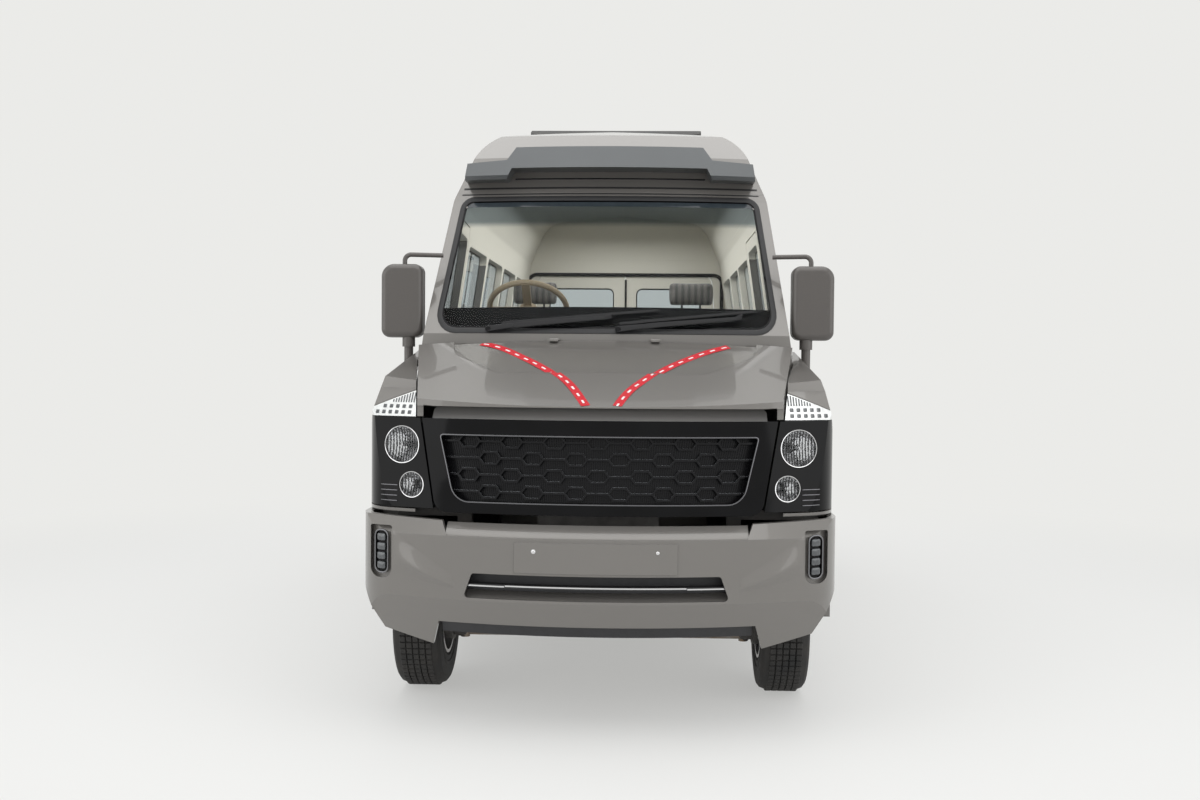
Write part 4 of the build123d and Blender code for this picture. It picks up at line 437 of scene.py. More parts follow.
def add_panel(mesh, plane, corners, rounds, low, high, border=0.0, edge=0.0, steps=()):
    """Adds a plate, or only its border, drawn by its corners in a view, low to high above a skin."""
    axis = {"front": 1, "side": 0}[plane]
    draft = bmesh.new()
    verts = []
    for corner in corners:
        spot = list(corner)
        spot.insert(axis, low)
        verts.append(draft.verts.new(spot))
    draft.faces.new(verts)
    for vert, radius in zip(verts, rounds if isinstance(rounds, tuple) else (rounds,) * len(verts)):
        if radius:
            bmesh.ops.bevel(
                draft, geom=[vert], offset=radius, affect="VERTICES", segments=6, profile=0.5, material=-1
            )
    if border:
        ring = bmesh.ops.inset_region(
            draft, faces=draft.faces[:], thickness=border, use_even_offset=True, use_boundary=True
        )["faces"]
        bmesh.ops.delete(draft, geom=[face for face in draft.faces if face not in ring], context="FACES")
    for cut_axis, step in steps:
        slice_up(draft, cut_axis, step)
    raised = bmesh.ops.extrude_face_region(draft, geom=draft.faces[:])["geom"]
    top_verts = [part for part in raised if isinstance(part, bmesh.types.BMVert)]
    bmesh.ops.translate(draft, vec=along(axis) * (high - low), verts=top_verts)
    bmesh.ops.recalc_face_normals(draft, faces=draft.faces)
    if edge:
        rims = [
            line
            for line in draft.edges
            if len(line.link_faces) == 2
            and line.calc_face_angle() > 0.9
            and all(abs(vert.co[axis] - high) < 1e-6 for vert in line.verts)
        ]
        bmesh.ops.bevel(draft, geom=rims, offset=edge, affect="EDGES", segments=2, profile=0.5, material=-1)
    join_in(mesh, draft)


def skin_of(*names):
    """Search tree over the faces of CAD nodes, on which trim is laid."""
    mesh = bmesh.new()
    for name in names:
        mesh.from_mesh(nodes[name].data)
    tree = BVHTree.FromBMesh(mesh)
    mesh.free()
    return tree


def lay_on(mesh, tree, ray):
    """Lays a flat drawn piece on a skin: each point goes along the ray to the skin, less its own rise."""
    ray = Vector(ray)
    axis = max(range(3), key=lambda n: abs(ray[n]))
    missed = {}
    for vert in mesh.verts:
        rise = vert.co[axis]
        start = vert.co.copy()
        start[axis] = -far_off * ray[axis]
        spot = tree.ray_cast(start, ray)[0]
        if spot is None:
            missed[vert] = rise
            continue
        vert.co[axis] = spot[axis] - rise * ray[axis]
    for vert, rise in missed.items():
        beside = [edge.other_vert(vert) for edge in vert.link_edges]
        near = [other.co[axis] for other in beside if other not in missed]
        if near:
            vert.co[axis] = sum(near) / len(near)
        else:
            vert.co[axis] = tree.find_nearest(vert.co)[0][axis] - rise * ray[axis]
    bmesh.ops.recalc_face_normals(mesh, faces=mesh.faces)


def front_spot(tree, x, z):
    """Spot where a skin is met from in front of the van, or None."""
    return tree.ray_cast(Vector((x, -far_off, z)), Vector(front_ray))[0]


def copied_over(mesh):
    """Adds the mirror image of a piece, with its faces as the operator leaves them."""
    bmesh.ops.mirror(mesh, geom=mesh.verts[:] + mesh.edges[:] + mesh.faces[:], axis="X", merge_dist=-1.0)


def mirror_in(mesh):
    """Adds the other side's copy of a closed piece drawn on the left side."""
    copied_over(mesh)
    bmesh.ops.recalc_face_normals(mesh, faces=mesh.faces)


def laid(name, mesh, skin, ray, material, body, both=False):
    """Lays a drawn mesh on a skin, copies it to the other side if asked, and makes a piece of it."""
    lay_on(mesh, skin, ray)
    if both:
        mirror_in(mesh)
    return piece(name, mesh, material, body)


def face_the_front(mesh):
    """Turns the faces of an open skin so that they look forwards."""
    for face in mesh.faces:
        face.normal_update()
        if face.normal.y > 0:
            face.normal_flip()


front_ray, back_ray = (0, 1, 0), (0, -1, 0)
left_ray, right_ray = (-1, 0, 0), (1, 0, 0)
far_off = 4.0

# ---- front bumper ----
# Moulded bumper in body paint. Each outer end has a raised fold that runs up to the
# day lamp, and the plate pad is held by two domed screws.
fold = bmesh.new()
fold_low, fold_high, fold_height, fold_split = (0.570, 0.600), (0.832, 0.700), 0.013, 0.4
bumper_skin = skin_of("front_bumper")
bmesh.ops.create_grid(fold, x_segments=44, y_segments=30, size=0.5)
for vert in fold.verts:
    run, lift = vert.co.x + 0.5, vert.co.y + 0.5
    ridge = fold_low[1] + (fold_high[1] - fold_low[1]) * run**1.1
    foot = fold_low[1] - 0.012 + 0.052 * run
    top = ridge + 0.05 + 0.06 * run
    crest = fold_height * math.sin(math.pi * min(1.0, run * 1.02)) ** 0.7
    if lift < fold_split:
        share = lift / fold_split
        height, rise = foot + (ridge - foot) * share, crest * share**1.4
    else:
        share = (1 - lift) / (1 - fold_split)
        height, rise = ridge + (top - ridge) * (1 - share), crest * (share * share * (3 - 2 * share))
    vert.co = Vector((fold_low[0] + (fold_high[0] - fold_low[0]) * run, rise + 0.0002, height))
lay_on(fold, bumper_skin, front_ray)
face_the_front(fold)
copied_over(fold)
face_the_front(fold)
piece("bumper_folds", fold, body_paint, "body", 180.0)

chrome = finish("chrome", (0.72, 0.72, 0.73), 0.09, metallic=1.0, spread=0.03, scale=30.0)
screw_dome = [
    *((0.0, -0.0045), (0.004, -0.004), (0.0065, -0.002), (0.0068, 0.0)),
    *((0.0092, 0.0), (0.0092, 0.003), (0.0, 0.003)),
]
screws = bmesh.new()
for x in (-0.245, 0.245):
    place = front_spot(bumper_skin, x + 0.012, 0.752)
    add_turned(screws, screw_dome, (x, place.y, 0.752), front_ray, 20)
piece("plate_screws", screws, chrome, "body")

# ---- bumper ledge ----
# Sloping top of the bumper between its two high shoulders, a moulded skin that runs
# back and up from the front face to just under the grille.
nose_radius, bumper_arc_y, ledge_half = 2.3, -0.494, 0.606
ledge_lines = [
    *((0.003, 0.786), (0.0035, 0.797), (0.008, 0.806), (0.020, 0.818)),
    *((0.045, 0.833), (0.072, 0.847), (0.078, 0.848)),
]
ledge = bmesh.new()
bmesh.ops.create_grid(ledge, x_segments=40, y_segments=len(ledge_lines) - 1, size=0.5)
for vert in ledge.verts:
    back_by, height = ledge_lines[round((vert.co.y + 0.5) * (len(ledge_lines) - 1))]
    x = vert.co.x * 2 * ledge_half
    vert.co = Vector((x, bumper_arc_y - math.sqrt(nose_radius**2 - x * x) + back_by, height))
bmesh.ops.recalc_face_normals(ledge, faces=ledge.faces)
bmesh.ops.solidify(ledge, geom=ledge.faces[:], thickness=0.0025)
bmesh.ops.recalc_face_normals(ledge, faces=ledge.faces)
piece("bumper_ledge", ledge, body_paint, "body", 50.0)

# ---- intake strip ----
# Thin bright strip clipped across the intake grid, its middle part a little higher
# than its two ends.
front_y, strip_sink, strip_low_z, strip_high_z = -2.794, 0.012, 0.6025, 0.6085
strip = bmesh.new()
for low_x, high_x, lift in ((-0.528, -0.362, 0.0), (-0.360, 0.360, 0.003), (0.362, 0.528, 0.0)):
    corners = oblong(low_x, strip_low_z + lift, high_x, strip_high_z + lift)
    add_panel(strip, "front", corners, 0.0, 0.0, 0.004, edge=0.001, steps=[(0, 0.04)])
for vert in strip.verts:
    vert.co.y = front_y + nose_radius - math.sqrt((nose_radius - strip_sink) ** 2 - vert.co.x**2) - vert.co.y
bmesh.ops.recalc_face_normals(strip, faces=strip.faces)
piece("intake_strip", strip, chrome, "body")

# ---- day lamps ----
# Upright lamps in the bumper's pockets: a dark insert with four moulded lens blocks
# in a bright ring that is pressed into the pocket's floor.
dress(gloss_black, "day_lamps")
lens_block = finish("lens_block", (0.09, 0.095, 0.10), 0.15, metallic=0.4, spread=0.2, scale=60.0, coat=0.5)
lamp_trim = finish("lamp_trim", (0.20, 0.20, 0.21), 0.24, metallic=1.0, spread=0.1, scale=40.0)
day_skin = skin_of("day_lamps", "front_bumper")
day_x, day_slope, block_pitch = 0.885, 0.64, 0.0385
ring, blocks = bmesh.new(), bmesh.new()
add_panel(ring, "front", oblong(0.852, 0.629, 0.918, 0.810), 0.028, -0.002, 0.007, border=0.0065, edge=0.002)
for number in range(4):
    low_z = 0.6465 + number * block_pitch
    add_panel(blocks, "front", oblong(0.865, low_z, 0.905, low_z + 0.031), 0.008, 0.0, 0.010, edge=0.007)
pocket_y = front_spot(day_skin, day_x, 0.72).y
for drawn, material, slot, name in (
    (ring, lamp_trim, "bare_steel", "day_lamp_rings"),
    (blocks, lens_block, "clear_lamp", "day_lamp_blocks"),
):
    for vert in drawn.verts:
        vert.co.y = pocket_y + (vert.co.x - day_x) * day_slope - vert.co.y
    mirror_in(drawn)
    piece(name, drawn, material, "body")

# ---- grille ----
# Gloss black surround with a thin bright bead round its opening. Behind the honeycomb
# bars lies a fine black wire mesh.
grille_arc_y, grille_foot_z, grille_height, grille_lean = -0.376, 0.89, 0.372, 0.04
bead_corners = [(-0.5905, 0.9225), (0.5905, 0.9225), (0.6585, 1.1995), (-0.6585, 1.1995)]
bead_rounds = (0.062, 0.062, 0.017, 0.017)


def grille_y(x, z, sink=0.0):
    """Depth of the surround's curved and leaning face, or of a face sunk behind it."""
    lean = grille_lean * (z - grille_foot_z) / grille_height
    return grille_arc_y - math.sqrt((nose_radius - lean - sink) ** 2 - x**2)


bead, bead_cut = bmesh.new(), [(0, 0.05)]
add_panel(bead, "front", bead_corners, bead_rounds, -0.002, 0.0035, 0.0055, 0.0015, bead_cut)
bead_steel = finish("bead_steel", (0.17, 0.17, 0.18), 0.22, metallic=1.0, spread=0.05, scale=40.0)
for vert in bead.verts:
    vert.co.y = grille_y(vert.co.x, vert.co.z) - vert.co.y
bmesh.ops.recalc_face_normals(bead, faces=bead.faces)
piece("grille_bead", bead, bead_steel, "body")

honeycomb = finish("honeycomb", (0.007, 0.007, 0.008), 0.26, metallic=0.3, spread=0.2, scale=30.0, gloss=0.3)
comb_tree = honeycomb.node_tree
comb_shader = comb_tree.nodes["Principled BSDF"]
# Faces of the bars that look upwards are mixed towards pale grey: a painted highlight where the bars catch
# the light from above.
comb_facing = wired(comb_tree, "NewGeometry", {}).outputs["True Normal"]
comb_split = wired(comb_tree, "SeparateXYZ", {"Vector": comb_facing})
comb_rise = wired(comb_tree, "MapRange", {"From Min": 0.25, "Value": comb_split.outputs["Z"]})
comb_highlight_mix = wired(comb_tree, "Mix", {}, data_type="RGBA")
comb_base = comb_shader.inputs["Base Color"].links[0].from_socket
painted_highlight_grey = (0.26, 0.27, 0.28, 1)
fill(comb_tree, comb_highlight_mix, {"Factor": comb_rise.outputs["Result"], "A": comb_base, "B": painted_highlight_grey})
fill(comb_tree, comb_shader, {"Base Color": comb_highlight_mix.outputs["Result"]})
dress(honeycomb, "grille_lattice")

wire = bmesh.new()
mesh_pitch, mesh_sink, bar_width = 0.0095, 0.0445, 0.0016
mesh_low_z, mesh_height, mesh_half, mesh_flare = 0.929, 0.264, 0.584, 0.25
columns, rows = int(1.30 / mesh_pitch), int(mesh_height / mesh_pitch)
bmesh.ops.create_grid(wire, x_segments=columns, y_segments=rows, size=0.5)
bmesh.ops.inset_individual(wire, faces=wire.faces[:], thickness=bar_width / 2, use_even_offset=False)
holes = [face for face in wire.faces if len(face.verts) == 4 and face.calc_area() > 0.55 / (columns * rows)]
for vert in wire.verts:
    height = mesh_low_z + (vert.co.y + 0.5) * mesh_height
    half = mesh_half + (height - 0.927) * mesh_flare
    vert.co = Vector((vert.co.x * 2 * half, 0.0, height))
bmesh.ops.delete(wire, geom=holes, context="FACES")
corner_cut = [v for v in wire.verts if v.co.z < 0.985 and abs(v.co.x) > 0.545 + (v.co.z - mesh_low_z) * 0.95]
bmesh.ops.delete(wire, geom=corner_cut, context="VERTS")
for vert in wire.verts:
    vert.co.y = grille_y(vert.co.x, vert.co.z, mesh_sink)
wire_black = finish("wire_black", (0.008, 0.008, 0.009), 0.6, spread=0.2, scale=40.0, gloss=0.12)
piece("grille_mesh", wire, wire_black, "body", 180.0)

# ---- round lamps ----
# In each lamp unit a large and a small round lamp: a fluted bright reflector, a
# capped bulb in its middle, a bezel ring and a clear domed lens.
reflector = finish("reflector", (0.80, 0.80, 0.81), 0.10, metallic=1.0, spread=0.03, scale=30.0)
# The reflector's colour is banded in upright stripes of near black and pale grey: painted reflections of its
# flutes, also on the bulbs.
flute_tree = reflector.node_tree
flute_place = wired(flute_tree, "TexCoord", {}).outputs["Object"]
flute_look = {"Scale": 26.0, "Distortion": 3.0, "Detail Scale": 6.0, "Vector": flute_place}
flute_wave = wired(flute_tree, "TexWave", flute_look, bands_direction="X")
flute_reflection_tint = wired(flute_tree, "ValToRGB", {"Fac": flute_wave.outputs["Fac"]})
flute_dark_reflection, flute_bright_reflection = flute_reflection_tint.color_ramp.elements
flute_dark_reflection.position, flute_bright_reflection.position = 0.25, 0.75
flute_dark_reflection.color, flute_bright_reflection.color = (0.03, 0.03, 0.032, 1), (0.72, 0.72, 0.73, 1)
fill(flute_tree, flute_tree.nodes["Principled BSDF"], {"Base Color": flute_reflection_tint.outputs["Color"]})


def clear_finish(name, colour, bend, haze, cloud_scale):
    """Clear glass or plastic in one tint, a little uneven in its polish."""
    material = bpy.data.materials.new(name)
    material.use_nodes = True
    tree = material.node_tree
    place = wired(tree, "TexCoord", {}).outputs["Object"]
    cloud = wired(tree, "TexNoise", {"Scale": cloud_scale, "Vector": place}).outputs["Fac"]
    uneven = wired(tree, "MapRange", {"To Min": 0.0, "To Max": haze, "Value": cloud}).outputs["Result"]
    looks = {"Transmission Weight": 1.0, "IOR": bend, "Base Color": (*colour, 1), "Roughness": uneven}
    fill(tree, tree.nodes["Principled BSDF"], looks)
    return material


lens_clear = clear_finish("lens_clear", (0.96, 0.97, 0.98), 1.25, 0.04, 25.0)
lamp_skin = skin_of("round_lamps")
bowls, bulbs, bezels, lenses = bmesh.new(), bmesh.new(), bmesh.new(), bmesh.new()
bulb_share = 0.16
bowl_shares = [bulb_share + (1 - bulb_share) * n / 7 for n in range(8)]
for lamp_x, lamp_z, radius, depth in ((0.825, 1.150, 0.0795, 0.052), (0.777, 0.986, 0.0555, 0.040)):
    bowl = [(radius * share, depth * (1 - share**2) + 0.005) for share in bowl_shares]
    bulb = [
        *((0.0, 0.012), (0.007, 0.013), (0.0095, 0.017), (0.0095, 0.034), (0.0075, 0.036)),
        *((0.0075, depth + 0.008), (radius * 0.18, depth + 0.004), (radius * 0.18, depth + 0.010)),
        (0.0, depth + 0.010),
    ]
    bezel = [
        *((radius, 0.008), (radius, -0.004), (radius - 0.0015, -0.0065)),
        *((radius - 0.0045, -0.006), (radius - 0.006, 0.004), (radius, 0.008)),
    ]
    reach = radius - 0.006
    lens_front = [(reach * n / 6, -0.0055 * (1 - (n / 6) ** 2) - 0.0005) for n in range(7)]
    lens = lens_front + [(run, rise + 0.0022) for run, rise in reversed(lens_front)]
    spot = front_spot(lamp_skin, lamp_x, lamp_z)
    slope_x = (front_spot(lamp_skin, lamp_x + radius * 0.5, lamp_z).y - spot.y) / (radius * 0.5)
    slope_z = (front_spot(lamp_skin, lamp_x, lamp_z + radius * 0.5).y - spot.y) / (radius * 0.5)
    turned = ((bowls, bowl, 30), (bulbs, bulb, 20), (bezels, bezel, 48), (lenses, lens, 40))
    for whole, profile, steps in turned:
        part = bmesh.new()
        add_turned(part, profile, (lamp_x, 0, lamp_z), (0, 1, 0), steps)
        for vert in part.verts:
            vert.co.y += spot.y + (vert.co.x - lamp_x) * slope_x + (vert.co.z - lamp_z) * slope_z
        join_in(whole, part)
face_the_front(bowls)
copied_over(bowls)
face_the_front(bowls)
for drawn in (bulbs, bezels, lenses):
    mirror_in(drawn)
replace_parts(piece("lamp_reflectors", bowls, reflector, "body", 4.0), "round_lamps")
piece("lamp_bulbs", bulbs, reflector, "body")
piece("lamp_bezels", bezels, chrome, "body")
piece("lamp_lenses", lenses, lens_clear, "body")

# ---- lamp ribs and signal lenses ----
# The housing has four short moulded ribs beside the small lamp. Above it sits the
# signal lens, with two rows of square studs and upright flutes over a bright back.
ribs = bmesh.new()
for number in range(4):
    low_z = 0.915 + number * 0.0215
    corners = oblong(0.838, low_z, 0.915, low_z + 0.004)
    add_panel(ribs, "front", corners, 0.0, -0.001, 0.004, edge=0.0012, steps=[(0, 0.012)])
laid("lamp_ribs", ribs, skin_of("headlamps"), front_ray, bead_steel, "body", both=True)

signal_back = finish("signal_back", (0.78, 0.79, 0.78), 0.30, metallic=0.5, spread=0.1, scale=50.0, coat=1.0)
dress(signal_back, "signal_lenses")
signal_skin = skin_of("signal_lenses")
stud_pitch_x, stud_pitch_z, stud_width, stud_height = 0.0295, 0.0235, 0.0165, 0.0145
flute_pitch, flute_width, flute_low_z = 0.0118, 0.0062, 1.3235
studs, flutes = bmesh.new(), bmesh.new()
for row in range(2):
    for column in range(6):
        x, z = 0.7895 + column * stud_pitch_x, 1.2765 + row * stud_pitch_z
        if front_spot(signal_skin, x + 0.017, z + 0.016) is None:
            continue
        corners = oblong(x, z, x + stud_width, z + stud_height)
        add_panel(studs, "front", corners, 0.003, -0.001, 0.003, edge=0.002)
for column in range(15):
    x, high_z = 0.7835 + column * flute_pitch, 1.3665
    while high_z > 1.330 and front_spot(signal_skin, x + 0.003, high_z + 0.003) is None:
        high_z -= 0.002
    if high_z < 1.333:
        continue
    corners = oblong(x, flute_low_z, x + flute_width, high_z)
    add_panel(flutes, "front", corners, 0.0, -0.001, 0.0028, edge=0.0016, steps=[(2, 0.012)])
for drawn, name in ((studs, "signal_studs"), (flutes, "signal_flutes")):
    laid(name, drawn, signal_skin, front_ray, lens_block, "body", both=True)

# ---- windscreen ----
# Laminated glass, clear with a blue-grey shade band along its top, set in a broad
# black rubber seal. A black fired border hides the glue line.
glass_bend, glass_haze, glass_cloud = 1.12, 0.03, 4.0
screen_tint, band_tint, band_low_z, band_high_z = (0.92, 0.95, 0.95), (0.30, 0.36, 0.40, 1), 2.145, 2.185
screen_glass = clear_finish("screen_glass", screen_tint, glass_bend, glass_haze, glass_cloud)
screen_tree = screen_glass.node_tree
screen_place = wired(screen_tree, "TexCoord", {}).outputs["Object"]
screen_height = wired(screen_tree, "SeparateXYZ", {"Vector": screen_place}).outputs["Z"]
band_step = wired(
    screen_tree,
    "MapRange",
    {"From Min": band_low_z, "From Max": band_high_z, "Value": screen_height},
    interpolation_type="SMOOTHSTEP",
)
band_mix = wired(screen_tree, "Mix", {}, data_type="RGBA")
fill(screen_tree, band_mix, {"Factor": band_step.outputs["Result"], "A": (*screen_tint, 1), "B": band_tint})
fill(screen_tree, screen_tree.nodes["Principled BSDF"], {"Base Color": band_mix.outputs["Result"]})
dress(screen_glass, "windscreen")
seal_rubber = finish(
    "seal_rubber", (0.012, 0.012, 0.013), 0.55, spread=0.2, scale=40.0, grain=0.0003,
    grain_scale=900.0,
)
screen_corners = [(-0.786, 1.648), (0.786, 1.648), (0.712, 2.294), (-0.712, 2.294)]
shade_corners = [(-0.700, 2.257), (0.700, 2.257), (0.697, 2.290), (-0.697, 2.290)]
screen_skin = skin_of("windscreen", "cab_front", "roof")


def around(corners, gap):
    """Corners of an upright four-sided outline, moved out all round."""
    (low_a, low), (high_a, _), (high_b, high), (low_b, _) = corners
    return [
        *((low_a - gap, low - gap), (high_a + gap, low - gap)),
        *((high_b + gap, high + gap), (low_b - gap, high + gap)),
    ]


shade_print = finish("shade_print", (0.030, 0.038, 0.044), 0.08, spread=0.1, scale=30.0)
for name, corners, rounds, low, high, border, edge, material, slot in (
    ("screen_seal", around(screen_corners, 0.019), (0.11, 0.11, 0.06, 0.06), -0.003, 0.005, 0.025, 0.003,
     seal_rubber, "wiper_rubber"),
    ("screen_border", screen_corners, (0.095, 0.095, 0.045, 0.045), 0.0002, 0.0006, 0.013, 0.0,
     gloss_black, "gloss_black"),
    ("screen_shade", shade_corners, (0, 0, 0.04, 0.04), 0.0001, 0.0004, 0.0, 0.0,
     shade_print, "screen_glass"),
):
    drawn = bmesh.new()
    add_panel(drawn, "front", corners, rounds, low, high, border, edge, [(0, 0.05), (2, 0.05)])
    laid(name, drawn, screen_skin, front_ray, material, "body")

# ---- wipers ----
# Two pressed arms in black paint, each with a sprung head on a splined spindle, a
# bridge with four claws and a rubber blade parked along the foot of the glass.
glass_skin = skin_of("windscreen", "cab_front")
glass_foot, glass_lean = 1.665, 0.65


def on_glass(x, z, rise):
    """Spot in front of the glass at a rise above it; below the foot the glass is run on at its slope."""
    height = max(z, glass_foot)
    return Vector((x, front_spot(glass_skin, x, height).y - rise - (height - z) * glass_lean, z))


def bar_between(mesh, start, end, widths, thickness, cuts):
    """Adds a flat tapered bar in front of the glass between two (x, z, rise) spots."""
    draft = bmesh.new()
    bmesh.ops.create_cube(draft, size=1.0)
    bmesh.ops.bevel(
        draft, geom=draft.edges[:], offset=0.12, affect="EDGES", segments=2, profile=0.5, material=-1
    )
    along_x = [e for e in draft.edges if abs((e.verts[1].co - e.verts[0].co).normalized().x) > 0.9]
    bmesh.ops.subdivide_edges(draft, edges=along_x, cuts=cuts, use_grid_fill=True)
    run = Vector((end[0] - start[0], 0, end[1] - start[1]))
    side = Vector((-run.z, 0, run.x)).normalized()
    for vert in draft.verts:
        share = min(1.0, max(0.0, vert.co.x + 0.5))
        width = widths[0] + (widths[1] - widths[0]) * share
        place = Vector((start[0], 0, start[1])) + run * share + side * vert.co.z * width
        rise = start[2] + (end[2] - start[2]) * share + vert.co.y * thickness
        vert.co = on_glass(place.x, place.z, rise)
    bmesh.ops.recalc_face_normals(draft, faces=draft.faces)
    join_in(mesh, draft)


arms, blades, caps = bmesh.new(), bmesh.new(), bmesh.new()
claw_half = 0.012
spindle_cap = [(0.0, -0.034), (0.010, -0.033), (0.0125, -0.029), (0.0125, 0.004), (0.0, 0.004)]
for pivot, tip, blade_start, blade_end in (
    ((-0.540, 1.650), (0.030, 1.707), (-0.480, 1.676), (0.245, 1.741)),
    ((0.060, 1.650), (0.630, 1.707), (0.065, 1.676), (0.698, 1.741)),
):
    knee = (pivot[0] + 0.12, pivot[1] + 0.016)
    bar_between(arms, (pivot[0] - 0.008, pivot[1], 0.020), (*knee, 0.030), (0.030, 0.020), 0.013, 4)
    bar_between(arms, (*knee, 0.029), (*tip, 0.026), (0.024, 0.016), 0.007, 14)
    clip = (tip[0] - 0.03, tip[1] - 0.002, 0.024), (tip[0] + 0.002, tip[1] + 0.018, 0.022)
    bar_between(arms, *clip, (0.016, 0.012), 0.014, 2)
    bar_between(arms, (*blade_start, 0.014), (*blade_end, 0.014), (0.015, 0.013), 0.007, 22)
    bar_between(blades, (*blade_start, 0.0055), (*blade_end, 0.0055), (0.005, 0.005), 0.011, 22)
    foot, run = Vector(blade_start), Vector(blade_end) - Vector(blade_start)
    for share in (0.04, 0.32, 0.68, 0.96):
        low = foot + run * share - run.normalized() * claw_half
        high = foot + run * share + run.normalized() * claw_half
        bar_between(arms, (*low, 0.012), (*high, 0.012), (0.013, 0.013), 0.012, 1)
    low, high = foot + run * 0.18, foot + run * 0.82
    bar_between(arms, (*low, 0.019), (*high, 0.019), (0.013, 0.013), 0.005, 14)
    add_turned(caps, spindle_cap, on_glass(*pivot, 0.0), (0, 1, 0), 24)
wiper_paint = finish(
    "wiper_paint", (0.005, 0.005, 0.006), 0.42, spread=0.2, scale=60.0, grain=0.0002,
    grain_scale=700.0, gloss=0.25,
)
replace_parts(piece("wiper_arms", arms, wiper_paint, "body", 40.0), "wipers")
piece("wiper_blades", blades, seal_rubber, "body", 40.0)
piece("wiper_caps", caps, wiper_paint, "body")

# ---- roof brow ----
# Seams above the windscreen: two drip grooves between pillar panel and roof, and a
# bright edge strip under the moulded brow.
brow_skin = skin_of("cab_front", "roof")
groove, edge_strip = bmesh.new(), bmesh.new()
for low_z, high_z in ((2.322, 2.328), (2.352, 2.361)):
    half = 0.735 - (low_z - 2.322) * 0.25
    add_panel(groove, "front", oblong(-half, low_z, half, high_z), 0.0, -0.001, 0.0012, steps=[(0, 0.05)])
laid("brow_grooves", groove, brow_skin, front_ray, seal_rubber, "body")
strip_corners = oblong(-0.47, 2.400, 0.47, 2.408)
add_panel(edge_strip, "front", strip_corners, 0.0, -0.001, 0.004, edge=0.0015, steps=[(0, 0.05)])
laid("brow_edge_strip", edge_strip, brow_skin, front_ray, bead_steel, "body")

# ---- bonnet ribbon ----
# Red satin ribbon with a broken white stitch, laid over the bonnet in a V from the
# two rear corners to the middle of its front edge.
ribbon_cloth = bpy.data.materials.new("ribbon_cloth")
ribbon_cloth.use_nodes = True
ribbon_tree = ribbon_cloth.node_tree
ribbon_uv = wired(ribbon_tree, "UVMap", {}, uv_map="along").outputs["UV"]
ribbon_split = wired(ribbon_tree, "SeparateXYZ", {"Vector": ribbon_uv})
stitch_pitch, stitch_start, stitch_end = 0.066, 0.012, 0.040


def ribbon_test(source, low, high):
    """One where a coordinate lies between two values."""
    near = {0: source, 1: (low + high) / 2, 2: (high - low) / 2}
    return wired(ribbon_tree, "Math", near, operation="COMPARE").outputs[0]


run_on = wired(ribbon_tree, "Math", {0: ribbon_split.outputs["X"], 1: 0.0, 2: stitch_pitch}, operation="WRAP")
stitch_along = ribbon_test(run_on.outputs[0], stitch_start, stitch_end)
stitch_across = ribbon_test(ribbon_split.outputs["Y"], 0.38, 0.62)
stitch = wired(ribbon_tree, "Math", {0: stitch_along, 1: stitch_across}, operation="MULTIPLY").outputs[0]
ribbon_tint = wired(ribbon_tree, "Mix", {}, data_type="RGBA")
fill(ribbon_tree, ribbon_tint, {"Factor": stitch, "A": (0.56, 0.004, 0.016, 1), "B": (0.80, 0.74, 0.73, 1)})
weave = wired(ribbon_tree, "TexWave", {"Scale": 320.0, "Vector": ribbon_uv}).outputs["Fac"]
ribbon_look = {
    "Roughness": 0.42,
    "Sheen Weight": 0.05,
    "Specular IOR Level": 0.25,
    "Base Color": ribbon_tint.outputs["Result"],
    "Normal": wired(ribbon_tree, "Bump", {"Distance": 0.0002, "Height": weave}).outputs["Normal"],
}
fill(ribbon_tree, ribbon_tree.nodes["Principled BSDF"], ribbon_look)

bonnet_skin = skin_of("bonnet")
down_ray = (0, 0, -1)
ribbon_width, ribbon_slack = 0.038, 1.06
bonnet_rear_y, bonnet_front_y, bonnet_bow = -1.973, -2.6445, 4.2


def ribbon_path(route):
    """Points of a smooth line drawn through a route of (x, y) spots."""
    line = bpy.data.curves.new("ribbon_line", "CURVE")
    line.dimensions = "3D"
    line.resolution_u = 14
    spline = line.splines.new("NURBS")
    spline.points.add(len(route) - 1)
    for point, (x, y) in zip(spline.points, route):
        point.co = (x, y, 0, 1)
    spline.order_u = 3
    spline.use_endpoint_u = True
    line_object = bpy.data.objects.new("ribbon_line", line)
    drawn = bpy.data.meshes.new_from_object(line_object)
    path = [vert.co.copy() for vert in drawn.vertices]
    bpy.data.objects.remove(line_object)
    bpy.data.curves.remove(line)
    return path


